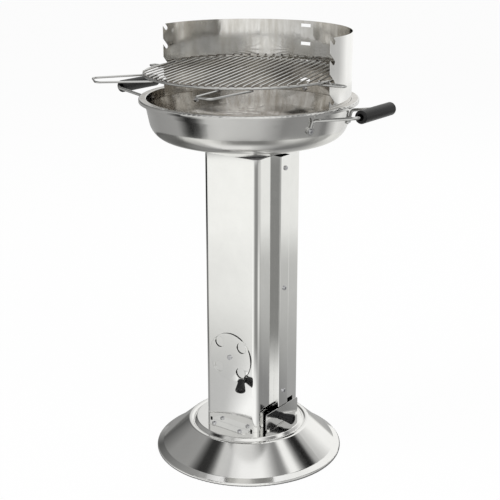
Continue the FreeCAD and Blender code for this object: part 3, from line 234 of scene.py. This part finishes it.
def heated(name, clean, stain, dull, run=RUNS):
    """Steel that the fire has tinted: clean and stain are the two ends of its colour."""
    material, tree, shader = start_material(name, Metallic=1.0)
    place = add_node(tree, "TexCoord")
    turn = add_node(tree, "Mapping", Scale=run)
    wire_up(tree, place, turn, "Object", "Vector")
    clouds = add_noise(tree, place, "Object", Scale=SOOT_SCALE, Detail=6.0, Roughness=0.62)
    runs = add_noise(tree, turn, 0, Scale=RUN_SCALE, Detail=3.0)
    both = add_node(tree, "Math", operation="ADD")
    wire_up(tree, clouds, both, 0, 0)
    wire_up(tree, runs, both, 0, 1)
    half = add_node(tree, "Math", operation="MULTIPLY")
    half.inputs[1].default_value = 0.5
    wire_up(tree, both, half)
    tint = two_tone(tree, half, clean, stain, STAIN_FROM, STAIN_TO)
    rough = add_node(tree, "MapRange", From_Min=STAIN_FROM, From_Max=STAIN_TO,
                     To_Min=dull, To_Max=dull * STAIN_DULLS)
    wire_up(tree, half, rough, 0, "Value")
    wire_shader(tree, shader, tint, rough, add_bump(tree, half, CRUST, CRUST_DEPTH))
    return material


heated_bowl = heated("heated_bowl", (0.56, 0.54, 0.51), (0.38, 0.35, 0.31), 0.08)
heated_shield = heated("heated_shield", (0.78, 0.77, 0.75), (0.62, 0.60, 0.56), 0.06)
heated_wire = heated("heated_wire", (0.42, 0.38, 0.33), (0.14, 0.11, 0.09), 0.28, ROUND)
weld_tint = heated("weld_tint", (0.50, 0.46, 0.42), (0.16, 0.12, 0.12), 0.34, ROUND)
print("heated:", heated_bowl.name, heated_shield.name, heated_wire.name, weld_tint.name)

# %% [markdown]
# The knobs and sleeves are moulded in black phenolic plastic. It is nearly black, with a soft
# wide highlight and a very fine orange-peel skin from the mould.

# %% Black plastic
SKIN_SCALE = 1400.0
SKIN, SKIN_DEPTH = 0.25, 0.00008
BLACKS = ((0.004, 0.004, 0.0044), (0.009, 0.009, 0.0097))
PLASTIC_DULL = (0.34, 0.46)


def make_black_plastic():
    """Moulded black plastic with a fine skin."""
    material, tree, shader = start_material("black_plastic_skin", IOR=1.4)
    place = add_node(tree, "TexCoord")
    skin = add_noise(tree, place, "Object", Scale=SKIN_SCALE, Detail=3.0)
    rough = add_node(tree, "MapRange", To_Min=PLASTIC_DULL[0], To_Max=PLASTIC_DULL[1])
    wire_up(tree, skin, rough, 0, "Value")
    bump = add_bump(tree, skin, SKIN, SKIN_DEPTH)
    wire_shader(tree, shader, two_tone(tree, skin, *BLACKS), rough, bump)
    return material


black_plastic = make_black_plastic()
print("plastic:", black_plastic.name)

# %% [markdown]
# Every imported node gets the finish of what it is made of. The finish goes into the node's own
# material slot; its mesh and its place stay as they are.

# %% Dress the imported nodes
FINISHES = {
    "foot": bright_foot,
    "column_front_cover": bright_column,
    "column_rear_shell": bright_column,
    "side_strip_right": bright_column,
    "side_strip_left": bright_column,
    "column_top_plate": plate_zinc,
    "drawer_rail_front": bright_drawer,
    "drawer_rail_rear": bright_drawer,
    "ash_drawer_tray": bright_drawer,
    "ash_drawer_front": bright_drawer,
    "air_disc": bright_disc,
    "bowl": bright_bowl,
    "wind_shield": bright_shield,
    "fire_grate_ring": heated_wire,
    "fire_grate_bars": heated_wire,
}


def finish_of(name):
    """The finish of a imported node, from its name."""
    if name in FINISHES:
        return FINISHES[name]
    if "knob" in name or "grip" in name:
        return black_plastic
    if any(word in name for word in ("screw", "nut", "bolt", "rivet", "washer")):
        return fastener_zinc
    return bright_wire


for name, item in nodes.items():
    item.data.materials.clear()
    item.data.materials.append(finish_of(name))

# %% [markdown]
# A cut sheet never has a knife edge. Its blank is deburred, and the small round that is left
# catches a line of light which tells the eye how thick the sheet is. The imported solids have
# sharp edges. So each sheet below is taken over as it is and only its edges are rounded: merge
# the corners, join the facets that lie in one plane, pick the edges that turn by more than 35
# degrees and bevel them by a fifth of a millimetre. The faces keep their place.

# %% Ease the edges of a sheet
MERGE, CLOSE = 2e-6, 1e-6
FLAT = math.radians(0.6)
SHARP = math.radians(35)
SHEET_EASE = 0.00022
EASED = ("column_front_cover", "column_rear_shell", "side_strip_right", "side_strip_left",
         "ash_drawer_front", "ash_drawer_tray")


def take_over(node):
    """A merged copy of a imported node, with the facets of its flat faces joined."""
    mesh = bmesh.new()
    mesh.from_mesh(nodes[node].data)
    bmesh.ops.remove_doubles(mesh, verts=mesh.verts, dist=MERGE)
    bmesh.ops.dissolve_limit(mesh, angle_limit=FLAT, verts=mesh.verts, edges=mesh.edges,
                             delimit=set())
    return mesh


def sharp_edges(mesh):
    """The edges where the surface turns sharply."""
    return [edge for edge in mesh.edges
            if len(edge.link_faces) == 2 and edge.calc_face_angle(0) > SHARP]


def ease(mesh, edges, radius=SHEET_EASE, steps=2):
    """Round some edges with a few small steps."""
    bmesh.ops.bevel(mesh, geom=edges, affect="EDGES", offset=radius, offset_type="OFFSET",
                    segments=steps, profile=0.5, material=-1, clamp_overlap=False,
                    loop_slide=False)
    bmesh.ops.remove_doubles(mesh, verts=mesh.verts, dist=CLOSE)


def add_piece(name, mesh, materials, body):
    """Turn a mesh into a smooth piece that moves with a body."""
    for face in mesh.faces:
        face.smooth = True
    data = bpy.data.meshes.new(name)
    mesh.to_mesh(data)
    mesh.free()
    for material in materials:
        data.materials.append(material)
    item = bpy.data.objects.new(name, data)
    scene.collection.objects.link(item)
    even = item.modifiers.new("even_faces", "WEIGHTED_NORMAL")
    even.weight = 100
    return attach(item, body)


def stand_in(mesh, node, inside=None, mask=None):
    """A piece that stands for a node; a mask picks the faces with the inside finish."""
    materials = [finish_of(node)] + ([inside] if inside else [])
    for face in mesh.faces:
        face.material_index = 1 if mask and mask(face) else 0
    item = add_piece(node + "_eased", mesh, materials, nodes[node]["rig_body"])
    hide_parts(node)
    return item


for name in EASED:
    sheet = take_over(name)
    ease(sheet, sharp_edges(sheet))
    stand_in(sheet, name)
print("eased", len(EASED), "sheets")

# %% [markdown]
# The bowl and the wind shield have two finishes. Outside they stay bright; inside the fire has
# tinted them. A face belongs to the inside when it looks at the axis, or up from inside the
# bowl; the flat lip round the bowl is still outside. The same eased copies carry the second
# finish in a second material slot. The two reaches below say how far from the axis a face may
# lie to count as inside.

# %% Bowl and wind shield
BOWL_REACH = 0.1629
SHIELD_REACH = 0.1622
LOOKS = 0.5


def looks_in(face, reach):
    """True for a face within a reach of the axis that looks at the axis or up."""
    middle = face.calc_center_median() - AXIS
    radius = math.hypot(middle.x, middle.y)
    if radius > reach or radius < 1e-6:
        return False
    inward = -(face.normal.x * middle.x + face.normal.y * middle.y) / radius
    return inward > LOOKS or face.normal.z > LOOKS


bowl = take_over("bowl")
ease(bowl, sharp_edges(bowl))
stand_in(bowl, "bowl", heated_bowl, lambda face: looks_in(face, BOWL_REACH))
shield = take_over("wind_shield")
ease(shield, sharp_edges(shield))
stand_in(shield, "wind_shield", heated_shield,
         lambda face: looks_in(face, SHIELD_REACH) and abs(face.normal.z) < LOOKS)

# %% [markdown]
# The air disc is blanked with its tab in one press stroke and then tumbled, so its rim and its
# holes are rounder than a sheet's edges, and it shows a fine bright outline against the cover.
# The tab's root stays as it is: the bend was made after the tumbling, and the knob hides it.

# %% Air disc
RIM_EASE = 0.0004
KNOB_REACH = 0.024
disc = bmesh.new()
disc.from_mesh(nodes["air_disc"].data)
bmesh.ops.remove_doubles(disc, verts=disc.verts, dist=MERGE)
knob_low, knob_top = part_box("air_disc_knob")
knob_middle = (knob_low + knob_top) / 2


def near_knob(vert):
    """True for a corner on the tab or at its root."""
    away = math.hypot(vert.co.x - knob_middle.x, vert.co.z - knob_middle.z)
    return away < KNOB_REACH


round_edges = [edge for edge in sharp_edges(disc)
               if not any(near_knob(vert) for vert in edge.verts)]
ease(disc, round_edges, RIM_EASE, 3)
stand_in(disc, "air_disc")
print("rounded edges of the disc:", len(round_edges))

# %% [markdown]
# The grates are resistance welded: two electrodes press a bar on the ring, a current melts the
# touching skins, and a little collar of metal is squeezed out. It sets uneven and tinted. To
# find the crossings, rays are cast down all along the ring; where a run of them meets a wire,
# the middle of the run is the weld. Each bead is a squashed ball whose skin swells and dips a
# little, so that no two are alike.

# %% Weld beads
RAYS = 2880
RAY_START = 1
BEAD_SHARES = (0.42, 0.62, 0.20)
SEED_STEP = 1.7
LOOSE_WIRES = ("grate_loop_front", "grate_loop_left", "grate_ear_left", "grate_ear_right",
               "grate_rear_hook")


def crossings(node, middle, radius):
    """The directions in which a ring of a middle and a radius meets a node's wires."""
    mesh = take_over(node)
    tree = BVHTree.FromBMesh(mesh)
    mesh.free()
    met = []
    for step in range(RAYS):
        turn = math.tau * step / RAYS
        start = middle + Vector((math.cos(turn), math.sin(turn), 0)) * radius
        start.z = RAY_START
        met.append(tree.ray_cast(start, Vector((0, 0, -1)))[0] is not None)
    first = met.index(False)
    spots, run = [], []
    for step in range(first, first + RAYS + 1):
        if met[step % RAYS]:
            run.append(step)
        elif run:
            spots.append(math.tau * sum(run) / len(run) / RAYS)
            run = []
    return spots


def add_bead(mesh, place, turn, size, seed):
    """An uneven bead at a place: its long side lies along the ring."""
    made = bmesh.ops.create_icosphere(mesh, subdivisions=2, radius=1)
    matrix = Matrix.Translation(place) @ Matrix.Rotation(turn, 4, "Z")
    for vert in made["verts"]:
        point = vert.co.copy()
        swell = 1 + 0.10 * math.sin(4 * point.x + seed) + 0.08 * math.cos(5 * point.y - 2 * seed)
        vert.co = matrix @ Vector([point[axis] * size[axis] * swell for axis in range(3)])


def weld(name, ring_node, wires, above):
    """Beads where the wires of some nodes cross a ring, at the height where they touch."""
    low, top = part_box(ring_node)
    middle = Vector(((low.x + top.x) / 2, (low.y + top.y) / 2, 0))
    thick = top.z - low.z
    radius = (top.x - low.x - thick) / 2
    mesh = bmesh.new()
    count = 0
    for node in wires:
        for turn in crossings(node, middle, radius):
            place = middle + Vector((math.cos(turn), math.sin(turn), 0)) * radius
            place.z = top.z if above else low.z
            size = [share * thick for share in BEAD_SHARES]
            add_bead(mesh, place, turn, size, SEED_STEP * count)
            count += 1
    item = add_piece(name, mesh, [weld_tint], nodes[ring_node]["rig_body"])
    print(name, count, "beads")
    return item


weld("grate_bar_welds", "grate_ring", ("grate_bars",), above=True)
weld("grate_loop_welds", "grate_ring", LOOSE_WIRES, above=False)
weld("fire_grate_welds", "fire_grate_ring", ("fire_grate_bars",), above=True)

# %% [markdown]
# A bright metal shows the room and little else, so the studio matters more than the metal.
# The floor and the surroundings are white for the camera and for every reflection. For soft
# light the surroundings give a low even fill, and large lamps do the rest. Two materials on
# the floor are mixed: a lit one keeps the grill's shadow, a glowing one keeps it pale.

# %% World and floor
FILL, WHITE = 0.45, 1.0
GLOW_SHARE = 0.95
FLOOR_PAINT = (0.9, 0.9, 0.9, 1)
FLOOR_SIZE = 15
WHITE_RAYS = ("Is Camera Ray", "Is Glossy Ray", "Is Transmission Ray")


def seen_white(tree):
    """1 for the rays that see the studio white, and 0 for the rays that light the grill."""
    path = add_node(tree, "LightPath")
    seen = add_node(tree, "Value")
    seen.outputs[0].default_value = 0
    for kind in WHITE_RAYS:
        either = add_node(tree, "Math", operation="MAXIMUM")
        wire_up(tree, seen, either, 0, 0)
        seen = wire_up(tree, path, either, kind, 1)
    return seen


def make_world():
    """White to the eye and in reflections, a low even fill for everything else."""
    world = bpy.data.worlds.new("studio")
    world.use_nodes = True
    tree = world.node_tree
    strength = add_node(tree, "MapRange", To_Min=FILL, To_Max=WHITE)
    wire_up(tree, seen_white(tree), strength, 0, "Value")
    background = tree.nodes["Background"]
    background.inputs["Color"].default_value = (1, 1, 1, 1)
    wire_up(tree, strength, background, 0, "Strength")
    return world


def make_floor():
    """A wide pale floor, white to the eye and in reflections, with the grill's soft shadow."""
    material = bpy.data.materials.new("studio_floor")
    material.use_nodes = True
    tree = material.node_tree
    tree.nodes.clear()
    share = add_node(tree, "Math", operation="MULTIPLY")
    share.inputs[1].default_value = GLOW_SHARE
    wire_up(tree, seen_white(tree), share, 0, 0)
    lit = add_node(tree, "BsdfDiffuse", Color=FLOOR_PAINT)
    glow = add_node(tree, "Emission", Color=(1, 1, 1, 1), Strength=WHITE)
    mix = add_node(tree, "MixShader")
    wire_up(tree, share, mix, 0, "Fac")
    wire_up(tree, lit, mix, 0, 1)
    wire_up(tree, glow, mix, 0, 2)
    out = add_node(tree, "OutputMaterial")
    wire_up(tree, mix, out, 0, "Surface")
    mesh = bmesh.new()
    bmesh.ops.create_grid(mesh, x_segments=1, y_segments=1, size=FLOOR_SIZE)
    data = bpy.data.meshes.new("floor")
    mesh.to_mesh(data)
    mesh.free()
    data.materials.append(material)
    floor = bpy.data.objects.new("floor", data)
    scene.collection.objects.link(floor)
    return floor


scene.world = make_world()
floor = make_floor()
print("floor", [round(value, 1) for value in floor.dimensions])

# %% [markdown]
# Three large square lamps stand round the grill and aim a little above its middle. Their
# light is soft and plain. Reflections don't see them, because a lamp's square in a polished
# bowl would say more about the lamp than about the bowl.

# %% Lamps
AIM = Vector((0, 0, 0.4)) + AXIS
LAMP_SIZE = 1.6


def area_lamp(name, place, power):
    """A soft square lamp that is aimed at the grill."""
    data = bpy.data.lights.new(name, "AREA")
    data.shape = "SQUARE"
    data.size = LAMP_SIZE
    data.energy = power
    lamp = bpy.data.objects.new(name, data)
    lamp.location = Vector(place) + AXIS
    lamp.rotation_euler = (AIM - lamp.location).to_track_quat("-Z", "Y").to_euler()
    lamp.visible_glossy = False
    scene.collection.objects.link(lamp)
    return lamp


area_lamp("key", (-1.2, -1.8, 2.6), 42)
area_lamp("side", (2.2, -0.4, 1.8), 22)
area_lamp("back", (-0.4, 2.2, 2.2), 26)
print("lamps:", len(bpy.data.lights))

# %% [markdown]
# In a room that is white all round, a polished pressing has no shape: it mirrors white with
# white. Photographers of metal put a tent round it, with grey and dark strips on the inside,
# and the strips' reflections draw the bands that let the eye read a cone or a bowl. Three
# staged pieces do the same here, and only reflections see them. Each list below holds a
# direction in degrees from +X and the shade there; PAPER_DARK_REFLECTION holds a share of the shade.

# %% Shades of the studio
TENT_HIGH = [
    (-180, 0.30), (-153, 0.33), (-146, 0.14), (-140, 0.03), (-129, 0.03), (-123, 0.14),
    (-115, 0.62), (-105, 0.58), (-96, 0.45), (-88, 0.72), (-82, 0.75), (-69, 0.95),
    (-26, 1.00), (-14, 0.71), (-3, 0.38), (6, 0.24), (14, 0.26), (21, 1.00), (29, 1.00),
    (35, 0.36), (40, 0.06), (46, 0.01), (51, 0.02), (56, 0.40), (62, 0.80), (73, 1.00),
    (93, 1.00), (126, 0.90), (157, 0.10), (170, 0.21), (180, 0.30),
]
TENT_LOW = [
    (-180, 0.30), (-155, 0.32), (-140, 0.62), (-110, 0.72), (-69, 0.95), (-26, 1.00),
    (-8, 0.60), (20, 0.60), (46, 0.50), (60, 0.55), (80, 1.00), (112, 1.00), (126, 0.90),
    (157, 0.10), (170, 0.21), (180, 0.30),
]
PAPER_INNER = [
    (-180, 0.30), (-141, 0.30), (-136, 0.48), (-122, 0.54), (-112, 1.00), (-54, 1.00),
    (-30, 0.60), (10, 0.25), (44, 0.24), (52, 0.36), (60, 0.38), (80, 0.45), (126, 0.35),
    (180, 0.30),
]
PAPER_MIDDLE = [
    (-180, 0.50), (-147, 0.50), (-135, 0.76), (-121, 0.88), (-114, 0.96), (-94, 0.94),
    (-33, 0.92), (-26, 0.83), (6, 0.83), (13, 0.70), (31, 0.37), (40, 0.50), (57, 0.50),
    (63, 1.00), (68, 1.00), (99, 0.82), (126, 0.60), (180, 0.50),
]
PAPER_OUTER = [
    (-180, 0.06), (-149, 0.06), (-137, 0.90), (-120, 0.96), (-45, 0.96), (-20, 0.60),
    (30, 0.60), (46, 0.80), (60, 0.86), (126, 0.95), (150, 0.30), (180, 0.06),
]
# shares that dim the paper: a painted dark reflection on the camera's side and on the left
PAPER_DARK_REFLECTION = [
    (-180, 0.35), (-152, 0.35), (-138, 1.00), (-100, 1.00), (-84, 0.62), (-72, 0.33),
    (-54, 0.26), (-36, 0.28), (-22, 0.50), (-8, 1.00), (130, 1.00), (155, 0.35),
    (180, 0.35),
]
COLLAR = [
    (-180, 0.40), (-151, 0.36), (-121, 0.42), (-113, 0.16), (-107, 0.015), (-103, 0.03),
    (-98, 0.07), (-93, 0.32), (-88, 0.67), (-78, 0.76), (-48, 0.67), (-35, 0.49),
    (-25, 0.29), (-13, 0.32), (12, 0.36), (19, 0.22), (26, 0.49), (33, 0.76), (39, 1.00),
    (54, 0.85), (126, 0.80), (180, 0.40),
]
SHADES = (TENT_LOW, TENT_HIGH, PAPER_INNER, PAPER_MIDDLE, PAPER_OUTER, PAPER_DARK_REFLECTION, COLLAR)
print("shades in the studio:", sum(len(stops) for stops in SHADES))

# %% [markdown]
# The tent, the paper and the collar glow with the shades of these lists. Their materials are
# alike: they find out how far a point lies from the axis and in which direction, and a ramp
# turns the direction into a shade. A blend leads from one ramp to the next.

# %% Glowing materials
WARMTH = 0.985


def start_glow(name):
    """A glowing material, with nodes for a point's place off the axis and its direction."""
    material = bpy.data.materials.new(name)
    material.use_nodes = True
    tree = material.node_tree
    tree.nodes.clear()
    place = add_node(tree, "TexCoord")
    away = add_node(tree, "VectorMath", operation="SUBTRACT")
    away.inputs[1].default_value = AXIS
    wire_up(tree, place, away, "Object", 0)
    sides = add_node(tree, "SeparateXYZ")
    wire_up(tree, away, sides)
    angle = add_node(tree, "Math", operation="ARCTAN2")
    wire_up(tree, sides, angle, "Y", 0)
    wire_up(tree, sides, angle, "X", 1)
    turn = add_node(tree, "MapRange", From_Min=-math.pi, From_Max=math.pi)
    wire_up(tree, angle, turn, 0, "Value")
    glow = add_node(tree, "Emission", Strength=1.0)
    out = add_node(tree, "OutputMaterial")
    wire_up(tree, glow, out, 0, "Surface")
    return SimpleNamespace(material=material, tree=tree, away=away, sides=sides, turn=turn,
                           glow=glow, out=out)


def shades(studio, stops):
    """A ramp from a list of directions and shades."""
    ramp = add_node(studio.tree, "ValToRGB")
    row = ramp.color_ramp.elements
    row.remove(row[1])
    for angle, shade in stops:
        stop = row.new((angle + 180) / 360) if angle > -180 else row[0]
        stop.color = (shade, shade, shade * WARMTH, 1)
    return wire_up(studio.tree, studio.turn, ramp)


def plain(studio, shade):
    """One shade all round."""
    colour = add_node(studio.tree, "RGB")
    colour.outputs[0].default_value = (shade, shade, shade, 1)
    return colour


def share_between(studio, by, start, stop):
    """A soft step: 0 where a value is at the start, 1 where it is at the stop."""
    node, out = by
    share = add_node(studio.tree, "MapRange", interpolation_type="SMOOTHSTEP",
                     From_Min=start, From_Max=stop)
    return wire_up(studio.tree, node, share, out, "Value")


def blend(studio, first, second, by, low, high):
    """Go from one colour to another as a value goes from low to high."""
    mix = add_node(studio.tree, "MixRGB")
    wire_up(studio.tree, share_between(studio, by, low, high), mix, 0, 0)
    wire_up(studio.tree, first, mix, 0, 1)
    wire_up(studio.tree, second, mix, 0, 2)
    return mix


def reflection_only(name, mesh, material):
    """Stage a piece of the studio that only reflections see."""
    data = bpy.data.meshes.new(name)
    mesh.to_mesh(data)
    mesh.free()
    data.materials.append(material)
    item = bpy.data.objects.new(name, data)
    for rays in ("camera", "diffuse", "transmission", "volume_scatter", "shadow"):
        setattr(item, "visible_" + rays, False)
    scene.collection.objects.link(item)
    return item


print("warmth of the greys:", WARMTH)

# %% [markdown]
# The tent is half a ball. Its shade depends on the direction, because a small curved pressing
# mirrors directions. Low down it is paler at the front, where the flat faces look; overhead it
# is white.

# %% The tent
TENT_RADIUS = 4
TENT_CUT = -0.01
TENT_LOW_TO_HIGH = (1.9, 2.5)
TENT_HIGH_TO_WHITE = (3.4, 3.9)


def make_tent():
    """Half a ball round the grill, grey by direction and white overhead."""
    studio = start_glow("studio_tent")
    height = (studio.sides, "Z")
    low, high = shades(studio, TENT_LOW), shades(studio, TENT_HIGH)
    sky = blend(studio, low, high, height, *TENT_LOW_TO_HIGH)
    top = blend(studio, sky, plain(studio, 1), height, *TENT_HIGH_TO_WHITE)
    wire_up(studio.tree, top, studio.glow)
    mesh = bmesh.new()
    bmesh.ops.create_uvsphere(mesh, u_segments=64, v_segments=32, radius=TENT_RADIUS)
    under = [vert for vert in mesh.verts if vert.co.z < TENT_CUT]
    bmesh.ops.delete(mesh, geom=under, context="VERTS")
    bmesh.ops.translate(mesh, vec=AXIS, verts=mesh.verts)
    bmesh.ops.reverse_faces(mesh, faces=mesh.faces)
    return reflection_only("tent", mesh, studio.material)


tent = make_tent()
print("tent", [round(value, 2) for value in tent.dimensions])

# %% [markdown]
# The paper lies on the floor for what faces down, in three rings from the column outwards. It
# has a painted contact shadow, a dark ring where the foot touches it. From a third of a metre
# outwards it is dimmed on the camera's side and on the left, a painted dark reflection for the
# column's rounded front corners and the flank of the side strip, which mirror these two sides.

# %% The paper
PAPER_RADIUS = 4
PAPER_LIFT = 0.0002
# shade of the painted contact shadow, the paper's dark ring at the foot's rim
CONTACT_SHADOW_SHADE = 0.12
TOUCH_TO_INNER = (0.1615, 0.167)
INNER_TO_MIDDLE = (0.30, 0.90)
MIDDLE_TO_OUTER = (1.0, 1.5)
PLAIN_TO_DIM = (0.30, 0.60)


def make_paper():
    """Paper on the floor in three rings, each with its own greys."""
    studio = start_glow("studio_paper")
    length = add_node(studio.tree, "VectorMath", operation="LENGTH")
    wire_up(studio.tree, studio.away, length, 0, 0)
    radius = (length, "Value")
    inner, middle, outer = (shades(studio, stops)
                            for stops in (PAPER_INNER, PAPER_MIDDLE, PAPER_OUTER))
    # the paper starts with the painted contact shadow at the foot's rim
    first = blend(studio, plain(studio, CONTACT_SHADOW_SHADE), inner, radius, *TOUCH_TO_INNER)
    near = blend(studio, first, middle, radius, *INNER_TO_MIDDLE)
    far = blend(studio, near, outer, radius, *MIDDLE_TO_OUTER)
    # the dimmed paper is a painted dark reflection for the column's corners and the strip's
    # flank
    dim = add_node(studio.tree, "MixRGB", blend_type="MULTIPLY")
    dim.inputs[0].default_value = 1
    wire_up(studio.tree, far, dim, 0, 1)
    wire_up(studio.tree, shades(studio, PAPER_DARK_REFLECTION), dim, 0, 2)
    wire_up(studio.tree, blend(studio, far, dim, radius, *PLAIN_TO_DIM), studio.glow)
    mesh = bmesh.new()
    bmesh.ops.create_circle(mesh, cap_ends=True, segments=64, radius=PAPER_RADIUS)
    bmesh.ops.translate(mesh, vec=AXIS + Vector((0, 0, PAPER_LIFT)), verts=mesh.verts)
    return reflection_only("paper", mesh, studio.material)


paper = make_paper()
print("paper", [round(value, 2) for value in paper.dimensions])

# %% [markdown]
# The collar is a ring of card round the grill, below the bowl's edge and well clear of it. The
# bowl's upper wall mirrors it. Its lower and upper edges are soft, so that no line shows. A
# cone with two equal radii and no caps makes it.

# %% The collar
COLLAR_RADIUS = 0.3
COLLAR_LOW, COLLAR_TOP = 0.455, 0.605
COLLAR_FADE = 0.02
COLLAR_SIDES = 90


def make_collar():
    """A ring of card with soft lower and upper edges."""
    studio = start_glow("studio_collar")
    tree = studio.tree
    wire_up(tree, shades(studio, COLLAR), studio.glow)
    height = (studio.sides, "Z")
    rise = share_between(studio, height, COLLAR_LOW, COLLAR_LOW + COLLAR_FADE)
    fall = share_between(studio, height, COLLAR_TOP, COLLAR_TOP - COLLAR_FADE)
    cover = add_node(tree, "Math", operation="MULTIPLY")
    wire_up(tree, rise, cover, 0, 0)
    wire_up(tree, fall, cover, 0, 1)
    clear = add_node(tree, "BsdfTransparent")
    mix = add_node(tree, "MixShader")
    wire_up(tree, cover, mix, 0, "Fac")
    wire_up(tree, clear, mix, 0, 1)
    wire_up(tree, studio.glow, mix, 0, 2)
    wire_up(tree, mix, studio.out, 0, "Surface")
    mesh = bmesh.new()
    bmesh.ops.create_cone(mesh, cap_ends=False, segments=COLLAR_SIDES, radius1=COLLAR_RADIUS,
                          radius2=COLLAR_RADIUS, depth=COLLAR_TOP - COLLAR_LOW)
    middle = AXIS + Vector((0, 0, (COLLAR_LOW + COLLAR_TOP) / 2))
    bmesh.ops.translate(mesh, vec=middle, verts=mesh.verts)
    return reflection_only("collar", mesh, studio.material)


collar = make_collar()
print("collar", [round(value, 2) for value in collar.dimensions])
